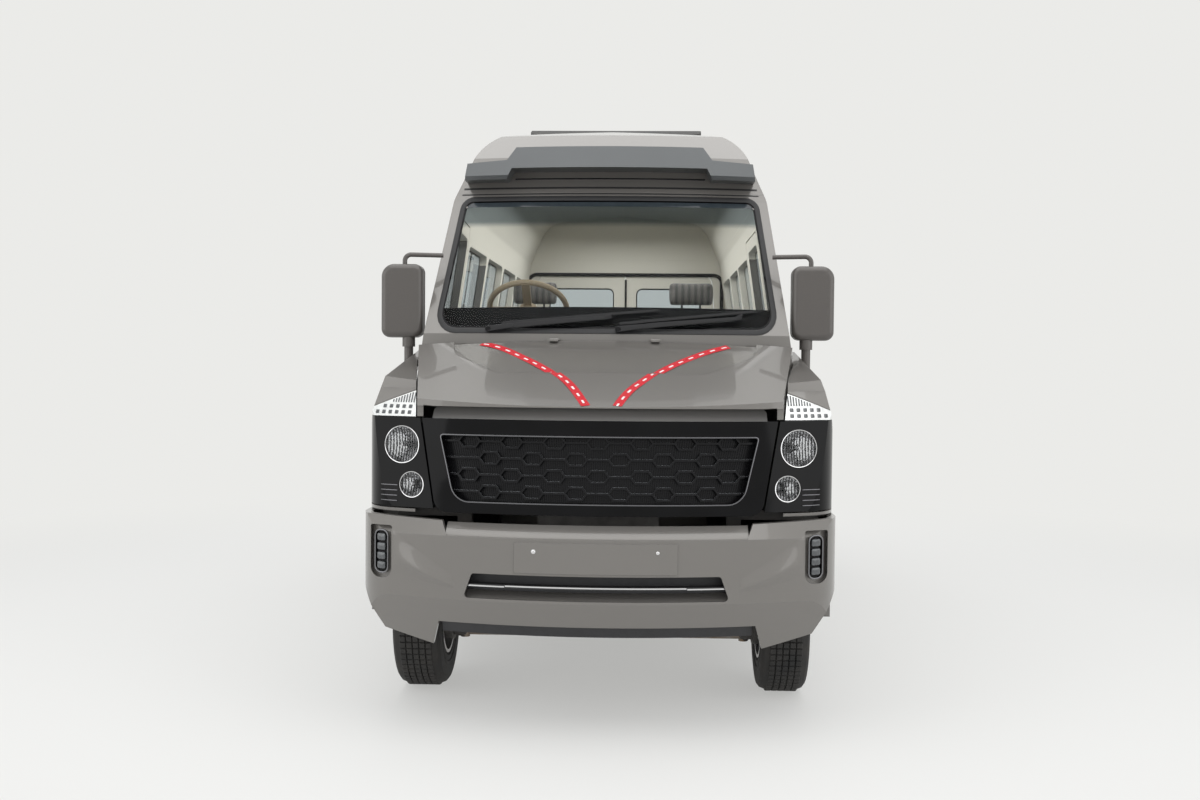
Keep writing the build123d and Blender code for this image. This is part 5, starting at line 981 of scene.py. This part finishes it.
for name, route in (
    ("left_ribbon", [
        *((0.560, -1.990), (0.429, -2.080), (0.250, -2.284)),
        *((0.166, -2.423), (0.106, -2.538), (0.076, -2.640)),
    ]),
    ("right_ribbon", [
        *((-0.560, -1.975), (-0.471, -2.018), (-0.320, -2.179)),
        *((-0.175, -2.352), (-0.102, -2.496), (-0.050, -2.642)),
    ]),
):
    path = ribbon_path(route)
    mesh = bmesh.new()
    bmesh.ops.create_grid(mesh, x_segments=len(path) - 1, y_segments=4, size=0.5)
    uv = mesh.loops.layers.uv.new("along")
    reach = [0.0]
    for before, after in zip(path, path[1:]):
        reach.append(reach[-1] + (after - before).length)
    shares = {}
    for vert in mesh.verts:
        number = round((vert.co.x + 0.5) * (len(path) - 1))
        across = vert.co.y
        shares[vert] = (reach[number], across + 0.5)
        before, after = path[max(0, number - 1)], path[min(len(path) - 1, number + 1)]
        side = Vector((before.y - after.y, after.x - before.x, 0)).normalized()
        spot = path[number] + side * across * ribbon_width
        held_y = min(bonnet_rear_y, max(spot.x * spot.x / bonnet_bow + bonnet_front_y, spot.y))
        drop = bonnet_skin.ray_cast(Vector((spot.x, held_y, far_off)), Vector(down_ray))[0]
        lift = 0.0016 + 0.0012 * (0.25 - across * across) + 0.0009 * math.sin(reach[number] * 21.0)
        vert.co = Vector((spot.x, spot.y, drop.z + lift))
    for face in mesh.faces:
        for loop in face.loops:
            loop[uv].uv = shares[loop.vert]
        face.normal_update()
        if face.normal.z < 0:
            face.normal_flip()
    ribbon = piece(name, mesh, ribbon_cloth, "bonnet_lid", 180.0)

# ---- mirrors ----
# Moulded satin housings on a bent steel tube and a lower knob. Each has a dark
# inner frame, a main glass over a small wide-angle glass, and a seam round its back.
mirror_plastic = finish(
    "mirror_plastic", (0.088, 0.080, 0.074), 0.36, metallic=0.2, scale=500.0, grain=0.0002,
    grain_scale=800.0, coat=0.25,
)
dress(mirror_plastic, "mirrors")
back_y = front_y + 0.985 + 0.092
mirror_low_x, mirror_high_x, glass_rounds = 0.882, 1.044, 0.022
frame_rim, glasses, seam = bmesh.new(), bmesh.new(), bmesh.new()
for low_z, high_z in ((1.722, 1.938), (1.628, 1.706)):
    corners = oblong(mirror_low_x, low_z, mirror_high_x, high_z)
    add_panel(glasses, "front", corners, glass_rounds, back_y - 0.0015, back_y - 0.0002, edge=0.0004)
corners, rounds = oblong(0.8675, 1.6095, 1.0595, 1.9525), (0.039, 0.039, 0.059, 0.039)
add_panel(frame_rim, "front", corners, rounds, back_y - 0.001, back_y + 0.0015, border=0.010, edge=0.0006)
corners = oblong(mirror_low_x, 1.7065, mirror_high_x, 1.7215)
add_panel(frame_rim, "front", corners, 0.0, back_y - 0.001, back_y + 0.0015)
corners, rounds = oblong(0.8663, 1.6083, 1.0607, 1.9537), (0.0397, 0.0397, 0.0597, 0.0397)
add_panel(seam, "front", corners, rounds, back_y - 0.030, back_y - 0.0275, border=0.006)
mirror_silver = finish("mirror_silver", (0.80, 0.81, 0.82), 0.03, metallic=1.0, spread=0.02, scale=20.0)
for drawn, material, slot, name in (
    (glasses, mirror_silver, "screen_glass", "mirror_glasses"),
    (frame_rim, dark_plastic, "dark_plastic", "mirror_frames"),
    (seam, seal_rubber, "dark_plastic", "mirror_seams"),
):
    mirror_in(drawn)
    piece(name, drawn, material, "body")

# ---- side windows ----
# Tinted panes held in black rubber, each saloon pane parted by the upright bar of
# its sliding half, and weather strips round the cab and passenger door panes.
window_glass = clear_finish("window_glass", (0.50, 0.54, 0.55), glass_bend, glass_haze, glass_cloud)
dress(
    window_glass,
    *("side_windows", "left_cab_glass", "right_cab_glass", "passenger_door_glass"),
    *("left_rear_glass", "right_rear_glass"),
)
window_low_z, window_high_z, last_window_y, post_width = 1.400, 2.130, 2.546, 0.070
rubber_lap, bar_half, pane_cut = 0.012, 0.011, [(2, 0.18)]


def grown_corners(corners, gap):
    """Corners of an outline, moved away from its middle by about a gap each way."""
    middle_a, middle_b = (sum(c[n] for c in corners) / len(corners) for n in (0, 1))
    return [(a + math.copysign(gap, a - middle_a), b + math.copysign(gap, b - middle_b)) for a, b in corners]


for side_name, ray, first_y, count in (("left", left_ray, 0.021, 3), ("right", right_ray, -0.764, 4)):
    pitch = (last_window_y - first_y) / count
    skin = skin_of(side_name + "_side_wall", "side_windows")
    rubber, bars = bmesh.new(), bmesh.new()
    for number in range(count):
        low_y = first_y + number * pitch
        high_y = low_y + pitch - post_width
        corners = grown_corners(oblong(low_y, window_low_z, high_y, window_high_z), rubber_lap)
        add_panel(rubber, "side", corners, 0.058, -0.002, 0.004, border=0.021, edge=0.002, steps=pane_cut)
        middle_y, bar_low_z, bar_high_z = (low_y + high_y) / 2, window_low_z + 0.006, window_high_z - 0.006
        corners = oblong(middle_y - bar_half, bar_low_z, middle_y + bar_half, bar_high_z)
        add_panel(bars, "side", corners, 0.0, -0.001, 0.005, edge=0.0025, steps=pane_cut)
        corners = oblong(middle_y + 0.018, 1.62, middle_y + 0.040, 1.70)
        add_panel(bars, "side", corners, 0.006, -0.001, 0.007, edge=0.003)
    lay_on(rubber, skin, ray)
    lay_on(bars, skin, ray)
    piece(side_name + "_window_rubber", rubber, seal_rubber, "body")
    piece(side_name + "_window_bars", bars, dark_plastic, "body")

cab_pane = [(-1.624, 1.500), (-1.624, 1.7253), (-1.3275, 2.153), (-0.896, 2.153), (-0.896, 1.500)]
cab_rounds = (0.05, 0.05, 0.03, 0.05, 0.05)
passenger_pane = oblong(-0.714, 1.400, -0.134, 2.153)
side_doors = (
    ("left_cab", left_ray, "left_door_rubber", "left_cab_glass", cab_pane, cab_rounds, -0.985),
    ("right_cab", right_ray, "right_door_rubber", "right_cab_glass", cab_pane, cab_rounds, -0.985),
    ("passenger", left_ray, "passenger_door_rubber", "passenger_door_glass", passenger_pane, 0.05, -0.205),
)
for name, ray, rubber_name, pane_name, corners, rounds, _ in side_doors:
    rubber, door = bmesh.new(), name + "_door"
    corners = grown_corners(corners, 0.010)
    add_panel(rubber, "side", corners, rounds, -0.002, 0.0035, border=0.018, edge=0.0015, steps=pane_cut)
    laid(rubber_name, rubber, skin_of(door, pane_name), ray, seal_rubber, door + "_leaf")

# ---- door handles and locks ----
# Each side door has a moulded black escutcheon with a body-coloured pull and a
# round bright lock below it.
lock_profile = [(0.0, 0.0045), (0.010, 0.0045), (0.012, 0.003), (0.013, -0.003), (0.0, -0.003)]
for name, ray, _, _, _, _, handle_y in side_doors:
    handle, pull, lock = bmesh.new(), bmesh.new(), bmesh.new()
    skin, leaf = skin_of(name + "_door"), name + "_door_leaf"
    corners = oblong(handle_y - 0.085, 1.175, handle_y + 0.085, 1.232)
    add_panel(handle, "side", corners, 0.016, -0.002, 0.004, edge=0.003)
    corners = oblong(handle_y - 0.074, 1.196, handle_y + 0.060, 1.221)
    add_panel(pull, "side", corners, 0.009, 0.003, 0.016, edge=0.005)
    lay_on(handle, skin, ray)
    lay_on(pull, skin, ray)
    place = skin.ray_cast(Vector((-far_off * ray[0], handle_y + 0.055, 1.150)), Vector(ray))[0]
    add_turned(lock, lock_profile, place, Vector(ray) * -1, 24)
    piece(name + "_handle", handle, dark_plastic, leaf)
    piece(name + "_pull", pull, body_paint, leaf)
    piece(name + "_lock", lock, chrome, leaf)

# ---- side mouldings ----
# Black rub strips along the doors and sides, rear arch lips, mud flaps of sheet
# rubber, small amber markers and the ring of the round fuel flap on the right side.
rub_low_z, rub_high_z = 0.840, 0.905
for name, node, body, ray, low_y, high_y in (
    ("left_cab_rub_strip", "left_cab_door", "left_cab_door_leaf", left_ray, -1.42, -0.850),
    ("right_cab_rub_strip", "right_cab_door", "right_cab_door_leaf", right_ray, -1.42, -0.850),
    ("passenger_rub_strip", "passenger_door", "passenger_door_leaf", left_ray, -0.785, -0.062),
    ("left_rub_strip", "left_side_wall", "body", left_ray, -0.030, 1.000),
    ("right_rub_strip", "right_side_wall", "body", right_ray, -0.815, 1.000),
    ("left_tail_rub_strip", "left_side_wall", "body", left_ray, 1.915, 2.560),
    ("right_tail_rub_strip", "right_side_wall", "body", right_ray, 1.915, 2.560),
):
    drawn = bmesh.new()
    add_panel(drawn, "side", oblong(low_y, rub_low_z, high_y, rub_high_z), 0.006, -0.002, 0.009, edge=0.006)
    laid(name, drawn, skin_of(node), ray, dark_plastic, body)

markers, flaps, fuel_ring, arch_lips = bmesh.new(), bmesh.new(), bmesh.new(), bmesh.new()
left_wall_skin = skin_of("left_side_wall")
amber = finish("amber_lens", (0.85, 0.28, 0.02), 0.14, spread=0.1, scale=60.0, coat=1.0)
for y in (0.42, 2.20):
    add_panel(markers, "side", oblong(y - 0.035, 0.945, y + 0.035, 0.975), 0.008, -0.002, 0.010, edge=0.005)
laid("side_markers", markers, left_wall_skin, left_ray, amber, "body", both=True)
for y, low_x, high_x, low_z in ((-1.452, 0.700, 0.905, 0.235), (1.900, 0.500, 0.915, 0.225)):
    corners = oblong(low_x, low_z, high_x, 0.520)
    add_panel(flaps, "front", corners, (0.02, 0.02, 0, 0), y, y + 0.007, edge=0.001)
mirror_in(flaps)
piece("mud_flaps", flaps, seal_rubber, "body")
fuel_spot = skin_of("right_side_wall").ray_cast(Vector((-far_off, 0.55, 1.02)), Vector(right_ray))[0]
ring_profile = [
    *((0.078, 0.0), (0.080, 0.0022), (0.084, 0.0022), (0.086, 0.0)),
    *((0.086, -0.003), (0.078, -0.003), (0.078, 0.0)),
]
add_turned(fuel_ring, ring_profile, fuel_spot, (-1, 0, 0), 48)
piece("fuel_flap_rim", fuel_ring, seal_rubber, "body")
arch_radius, arch_half = 0.4175, math.radians(86)
lip_section = [(-0.002, 0.0), (0.005, 0.002), (0.005, 0.016), (-0.002, 0.020)]
arch_top_z = axle_height + arch_radius
verts = [arch_lips.verts.new((rise, rear_axle_y, arch_top_z + out)) for rise, out in lip_section]
edges = [arch_lips.edges.new(pair) for pair in zip(verts, verts[1:] + verts[:1])]
wheel_centre = (0, rear_axle_y, axle_height)
bmesh.ops.rotate(arch_lips, cent=wheel_centre, matrix=Matrix.Rotation(-arch_half, 3, "X"), verts=verts)
bmesh.ops.spin(
    arch_lips,
    geom=verts + edges,
    cent=wheel_centre,
    axis=(1, 0, 0),
    dvec=(0, 0, 0),
    angle=2 * arch_half,
    steps=48,
)
bmesh.ops.holes_fill(arch_lips, edges=[e for e in arch_lips.edges if e.is_boundary], sides=8)
laid("rear_arch_lips", arch_lips, left_wall_skin, left_ray, dark_plastic, "body", both=True)

# ---- tail lamps and rear doors ----
# Upright lamps with an amber, a red and a clear section behind a ribbed cover; the
# doors have rubber round their panes, a handle and a plain plate holder.
tail_red = (0.42, 0.012, 0.012)
tail_cover = finish("tail_cover", tail_red, 0.14, spread=0.1, scale=60.0, coat=1.0)
tail_tree = tail_cover.node_tree
tail_place = wired(tail_tree, "TexCoord", {}).outputs["Object"]
tail_height = wired(tail_tree, "SeparateXYZ", {"Vector": tail_place}).outputs["Z"]
tail_share = wired(tail_tree, "MapRange", {"From Min": 0.95, "From Max": 1.38, "Value": tail_height})
tail_ramp = wired(tail_tree, "ValToRGB", {"Fac": tail_share.outputs["Result"]})
tail_ramp.color_ramp.interpolation = "CONSTANT"
tail_ramp.color_ramp.elements[0].color = (0.62, 0.62, 0.60, 1)
tail_ramp.color_ramp.elements[1].position = 0.27
tail_ramp.color_ramp.elements[1].color = (*tail_red, 1)
tail_ramp.color_ramp.elements.new(0.70).color = (0.75, 0.22, 0.02, 1)
tail_flutes = wired(tail_tree, "TexWave", {"Scale": 26.0, "Vector": tail_place}, bands_direction="Z")
tail_bump = wired(tail_tree, "Bump", {"Distance": 0.002, "Height": tail_flutes.outputs["Fac"]})
tail_look = {"Base Color": tail_ramp.outputs["Color"], "Normal": tail_bump.outputs["Normal"]}
fill(tail_tree, tail_tree.nodes["Principled BSDF"], tail_look)
dress(tail_cover, "tail_lamps")

rear_pane = [(0.090, 1.400), (0.655, 1.400), (0.610, 2.100), (0.090, 2.100)]
for side, side_name in ((1, "left"), (-1, "right")):
    rubber = bmesh.new()
    corners = [(side * x, z) for x, z in grown_corners(rear_pane, rubber_lap)]
    add_panel(rubber, "front", corners, 0.058, -0.002, 0.004, border=0.021, edge=0.002, steps=[(2, 0.12)])
    lay_on(rubber, skin_of(side_name + "_rear_door", side_name + "_rear_glass"), back_ray)
    piece(side_name + "_rear_rubber", rubber, seal_rubber, side_name + "_rear_door_leaf")

plate_white = finish(
    "plate_blank", (0.62, 0.62, 0.60), 0.35, spread=0.04, scale=60.0, grain=0.0003,
    grain_scale=300.0,
)
for name, side_name, corners, rounds, low, high, border, edge, material, slot in (
    ("rear_handle", "left", oblong(0.030, 1.080, 0.105, 1.215), 0.014, -0.002, 0.005, 0.0, 0.003,
     dark_plastic, "dark_plastic"),
    ("rear_pull", "left", oblong(0.046, 1.105, 0.072, 1.200), 0.008, 0.004, 0.017, 0.0, 0.005,
     body_paint, "body_paint"),
    ("rear_plate_blank", "right", oblong(-0.560, 0.800, -0.040, 0.912), 0.008, -0.002, 0.003, 0.0, 0.001,
     plate_white, "mirror_plastic"),
    ("rear_plate_frame", "right", oblong(-0.572, 0.788, -0.028, 0.924), 0.012, -0.002, 0.005, 0.0115, 0.002,
     dark_plastic, "dark_plastic"),
):
    drawn = bmesh.new()
    add_panel(drawn, "front", corners, rounds, low, high, border, edge)
    lay_on(drawn, skin_of(side_name + "_rear_door"), back_ray)
    piece(name, drawn, material, side_name + "_rear_door_leaf")

# ---- roof cooling unit ----
# Dark grey moulded cover on the roof with two round fan grilles and a row of
# louvres down each side.
unit_cover = finish(
    "unit_cover", (0.030, 0.031, 0.033), 0.6, spread=0.2, scale=12.0, grain=0.0006,
    grain_scale=260.0, dust=(0.05, 0.048, 0.045),
)
dress(unit_cover, "roof_cooling_unit")
unit_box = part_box("roof_cooling_unit")
unit_top_z, unit_middle_y = unit_box[1][2], (unit_box[0][1] + unit_box[1][1]) / 2
fans = bmesh.new()
hub_profile = [(0.0, 0.0028), (0.030, 0.0028), (0.034, 0.0), (0.0, 0.0)]
for x in (-0.235, 0.235):
    centre = (x, unit_middle_y, unit_top_z - 0.003)
    for radius in (0.175, 0.135, 0.095, 0.055):
        inner = radius - 0.006
        ring = [(radius, 0.0), (radius, 0.0025), (inner, 0.0025), (inner, 0.0), (radius, 0.0)]
        add_turned(fans, ring, centre, (0, 0, 1), 48, (1, 0, 0))
    add_turned(fans, hub_profile, centre, (0, 0, 1), 24, (1, 0, 0))
    for number in range(12):
        spoke = bmesh.new()
        add_block(spoke, (0.030, -0.003, 0.0002), (0.174, 0.003, 0.0024), 0.0006)
        turn = Matrix.Rotation(math.radians(30 * number), 3, "Z")
        bmesh.ops.rotate(spoke, cent=(0, 0, 0), matrix=turn, verts=spoke.verts)
        bmesh.ops.translate(spoke, vec=centre, verts=spoke.verts)
        join_in(fans, spoke)
piece("roof_fan_grilles", fans, dark_plastic, "body")
louvres = bmesh.new()
for number in range(7):
    low_z = unit_top_z - 0.088 + number * 0.0085
    corners = oblong(unit_middle_y - 0.30, low_z, unit_middle_y + 0.30, low_z + 0.004)
    add_panel(louvres, "side", corners, 0.0, -0.001, 0.0015)
lay_on(louvres, skin_of("roof_cooling_unit"), left_ray)
mirror_in(louvres)
piece("roof_unit_louvres", louvres, dark_plastic, "body")

# ---- rear door seals ----
# Hollow rubber round the inside of the rear doorway, and a strip down the edge of
# the left leaf that closes the gap between the two leaves.
doorway = bmesh.new()
doorway_corners = oblong(-0.797, 0.553, 0.797, 2.222)
add_panel(doorway, "front", doorway_corners, 0.08, 2.630, 2.641, border=0.028, edge=0.002)
piece("doorway_seal", doorway, seal_rubber, "body")
leaf_strip = bmesh.new()
add_block(leaf_strip, (-0.0015, 2.640, 0.60), (0.014, 2.652, 2.17), 0.002)
piece("rear_leaf_strip", leaf_strip, seal_rubber, "left_rear_door_leaf")

# ---- seats ----
# Foam seats in a ribbed woven cover with a smooth border. Each has its own cushion,
# back and headrest, swollen by its filling and drawn in along sewn channels.
seat_cloth = bpy.data.materials.new("seat_cloth")
seat_cloth.use_nodes = True
seat_tree = seat_cloth.node_tree
seat_place = wired(seat_tree, "TexCoord", {}).outputs["Object"]
seat_weave = wired(seat_tree, "TexVoronoi", {"Scale": 260.0, "Vector": seat_place}).outputs["Distance"]
seat_rib = wired(seat_tree, "TexWave", {"Scale": 9.0, "Vector": seat_place}, bands_direction="X")
seat_tint = wired(seat_tree, "ValToRGB", {"Fac": seat_rib.outputs["Fac"]})
seat_tint.color_ramp.elements[0].color = (0.085, 0.082, 0.080, 1)
seat_tint.color_ramp.elements[1].color = (0.17, 0.16, 0.15, 1)
seat_look = {
    "Roughness": 0.85,
    "Sheen Weight": 0.25,
    "Base Color": seat_tint.outputs["Color"],
    "Normal": wired(seat_tree, "Bump", {"Distance": 0.0012, "Height": seat_weave}).outputs["Normal"],
}
fill(seat_tree, seat_tree.nodes["Principled BSDF"], seat_look)
filling_pressure, last_frame, voxel = 4.0, 20, 0.012
pad_half, seam_x, seam_width, row_seam_width = 0.197, 0.105, 0.022, 0.018
floor_z, seat_leg_height, cab_seat_lift = 0.730, 0.320, 0.110


def swollen(corners, half, round_off, reach):
    """Pad drawn in side view and swollen by its filling, with no point moved past the reach."""
    draft = bmesh.new()
    add_panel(draft, "side", corners, round_off, -half, half)
    data = bpy.data.meshes.new("pad_draft")
    draft.to_mesh(data)
    draft.free()
    made = bpy.data.objects.new("pad_draft", data)
    scene.collection.objects.link(made)
    remesh = made.modifiers.new("remesh", "REMESH")
    remesh.mode = "VOXEL"
    remesh.voxel_size = voxel
    graph = bpy.context.evaluated_depsgraph_get()
    meshed = bpy.data.meshes.new_from_object(made.evaluated_get(graph))
    made.modifiers.clear()
    made.data = meshed
    before = [vert.co.copy() for vert in meshed.vertices]
    cloth = made.modifiers.new("cloth", "CLOTH")
    cloth.settings.use_pressure = True
    cloth.settings.uniform_pressure_force = filling_pressure
    cloth.settings.effector_weights.gravity = 0.0
    cloth.settings.quality = 5
    for frame_number in range(1, last_frame + 1):
        scene.frame_set(frame_number)
    graph = bpy.context.evaluated_depsgraph_get()
    after = bpy.data.meshes.new_from_object(made.evaluated_get(graph))
    for vert, start in zip(after.vertices, before):
        move = vert.co - start
        if move.length > reach:
            vert.co = start + move.normalized() * reach
    made.modifiers.clear()
    made.data = after
    scene.frame_set(1)
    result = bmesh.new()
    result.from_mesh(made.data)
    bpy.data.objects.remove(made)
    all_ways = {"use_axis_x": True, "use_axis_y": True, "use_axis_z": True}
    bmesh.ops.smooth_vert(result, verts=result.verts, factor=0.5, **all_ways)
    return result


def draw_in(mesh, axis, places, depth, width):
    """Draws the cover in along sewn channels at places on an axis."""
    for vert in mesh.verts:
        nearest = min(abs(vert.co[axis] - place) for place in places)
        if nearest < width:
            vert.co -= vert.normal * depth * (1 - nearest / width) ** 2


cushion = swollen([(0.018, 0.018), (0.470, 0.018), (0.470, 0.118), (0.018, 0.122)], pad_half, 0.03, 0.024)
cushion.normal_update()
draw_in(cushion, 0, (-seam_x, seam_x), 0.010, seam_width)
draw_in(cushion, 1, (0.16, 0.31), 0.006, row_seam_width)
back = swollen([(0.487, 0.150), (0.548, 0.142), (0.640, 0.610), (0.576, 0.622)], pad_half, 0.022, 0.022)
back.normal_update()
draw_in(back, 0, (-seam_x, seam_x), 0.009, seam_width)
draw_in(back, 2, (0.30, 0.45), 0.006, row_seam_width)
headrest = swollen([(0.600, 0.662), (0.652, 0.650), (0.670, 0.772), (0.620, 0.784)], 0.118, 0.02, 0.014)
seat_forms = {}
for form_name, form in (("cushion", cushion), ("back", back), ("headrest", headrest)):
    seat_forms[form_name] = bpy.data.meshes.new("form_" + form_name)
    form.to_mesh(seat_forms[form_name])
    form.free()

cab_row, front_row, first_row, last_row, row_gaps = 1.440, 2.080, 2.830, 5.380, 3.3
row_pitch = (last_row - first_row) / row_gaps
rows = [(x, front_y + first_row + row * row_pitch) for x in (-0.598, -0.158, 0.585) for row in range(3)]
rows += [(x, front_y + front_row) for x in (-0.598, -0.158)]
seat_spots = [
    ("cab_seat_1", "cab_seats", -0.430, front_y + cab_row, cab_seat_lift),
    ("cab_seat_2", "cab_seats", 0.430, front_y + cab_row, cab_seat_lift),
]
seat_spots += [(f"saloon_seat_{n + 1}", "saloon_seats", x, y, 0.0) for n, (x, y) in enumerate(rows)]
stem_profile, stem_way = [(0.0, 0.0), (0.006, 0.0), (0.006, 0.06), (0.0, 0.06)], (0, 0.14, 0.99)
hardware = bmesh.new()
for name, node, x, y, lift in seat_spots:
    place = Vector((x, y, floor_z + seat_leg_height + lift))
    for form_name, form in seat_forms.items():
        mesh = bmesh.new()
        mesh.from_mesh(form)
        bmesh.ops.translate(mesh, vec=place, verts=mesh.verts)
        pad = piece(f"{name}_{form_name}", mesh, seat_cloth, "body", 180.0)
        if form_name == "cushion":
            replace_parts(pad, node)
    for stem_x in (-0.05, 0.05):
        stem = bmesh.new()
        add_turned(stem, stem_profile, (stem_x, 0.628, 0.606), stem_way, 10, (1, 0, 0))
        bmesh.ops.translate(stem, vec=place, verts=stem.verts)
        join_in(hardware, stem)
    for arm_x in (-0.209, 0.209):
        arm = bmesh.new()
        add_block(arm, (-0.008, 0.38, 0.02), (0.008, 0.60, 0.13), 0.006)
        bmesh.ops.translate(arm, vec=place + Vector((arm_x, 0, 0)), verts=arm.verts)
        join_in(hardware, arm)
piece("seat_hardware", hardware, dark_plastic, "body")
dress(chassis_paint, "seat_frames")

# ---- dashboard and steering wheel ----
# Soft black moulding with gloss fascia panels and round bright vents; the wheel has
# a beige leather rim.
cabin_plastic = finish(
    "cabin_plastic", (0.009, 0.009, 0.010), 0.7, spread=0.12, scale=30.0, grain=0.0006,
    grain_scale=900.0, gloss=0.15,
)
dress(cabin_plastic, "dashboard")
rim_leather = finish(
    "rim_leather", (0.46, 0.36, 0.25), 0.5, spread=0.1, scale=90.0, grain=0.0004,
    grain_scale=700.0,
)
dress(rim_leather, "steering_wheel")
floor_cover = finish(
    "floor_cover", (0.11, 0.11, 0.115), 0.7, spread=0.25, scale=60.0, grain=0.0006,
    grain_scale=300.0,
)
dress(floor_cover, "floor")
dash_skin = skin_of("dashboard")
fascia, vents = bmesh.new(), bmesh.new()
for corners in (
    oblong(-0.56, 1.585, -0.24, 1.690),
    oblong(-0.13, 1.430, 0.13, 1.690),
    oblong(0.30, 1.340, 0.70, 1.480),
    oblong(-0.13, 1.240, 0.13, 1.410),
):
    add_panel(fascia, "front", corners, 0.02, -0.002, 0.006, edge=0.004, steps=[(0, 0.06), (2, 0.04)])
vent_profile = [
    *((0.040, -0.004), (0.040, 0.008), (0.034, 0.010), (0.032, 0.003)),
    *((0.008, 0.003), (0.006, 0.008), (0.0, 0.008)),
]
for x, z in ((-0.72, 1.62), (-0.06, 1.60), (0.06, 1.60), (0.72, 1.62)):
    spot = dash_skin.ray_cast(Vector((x, 0, z)), Vector(back_ray))[0]
    add_turned(vents, vent_profile, spot, (0, 1, 0), 32)
laid("dash_fascia", fascia, dash_skin, back_ray, gloss_black, "body")
piece("dash_vents", vents, bead_steel, "body")
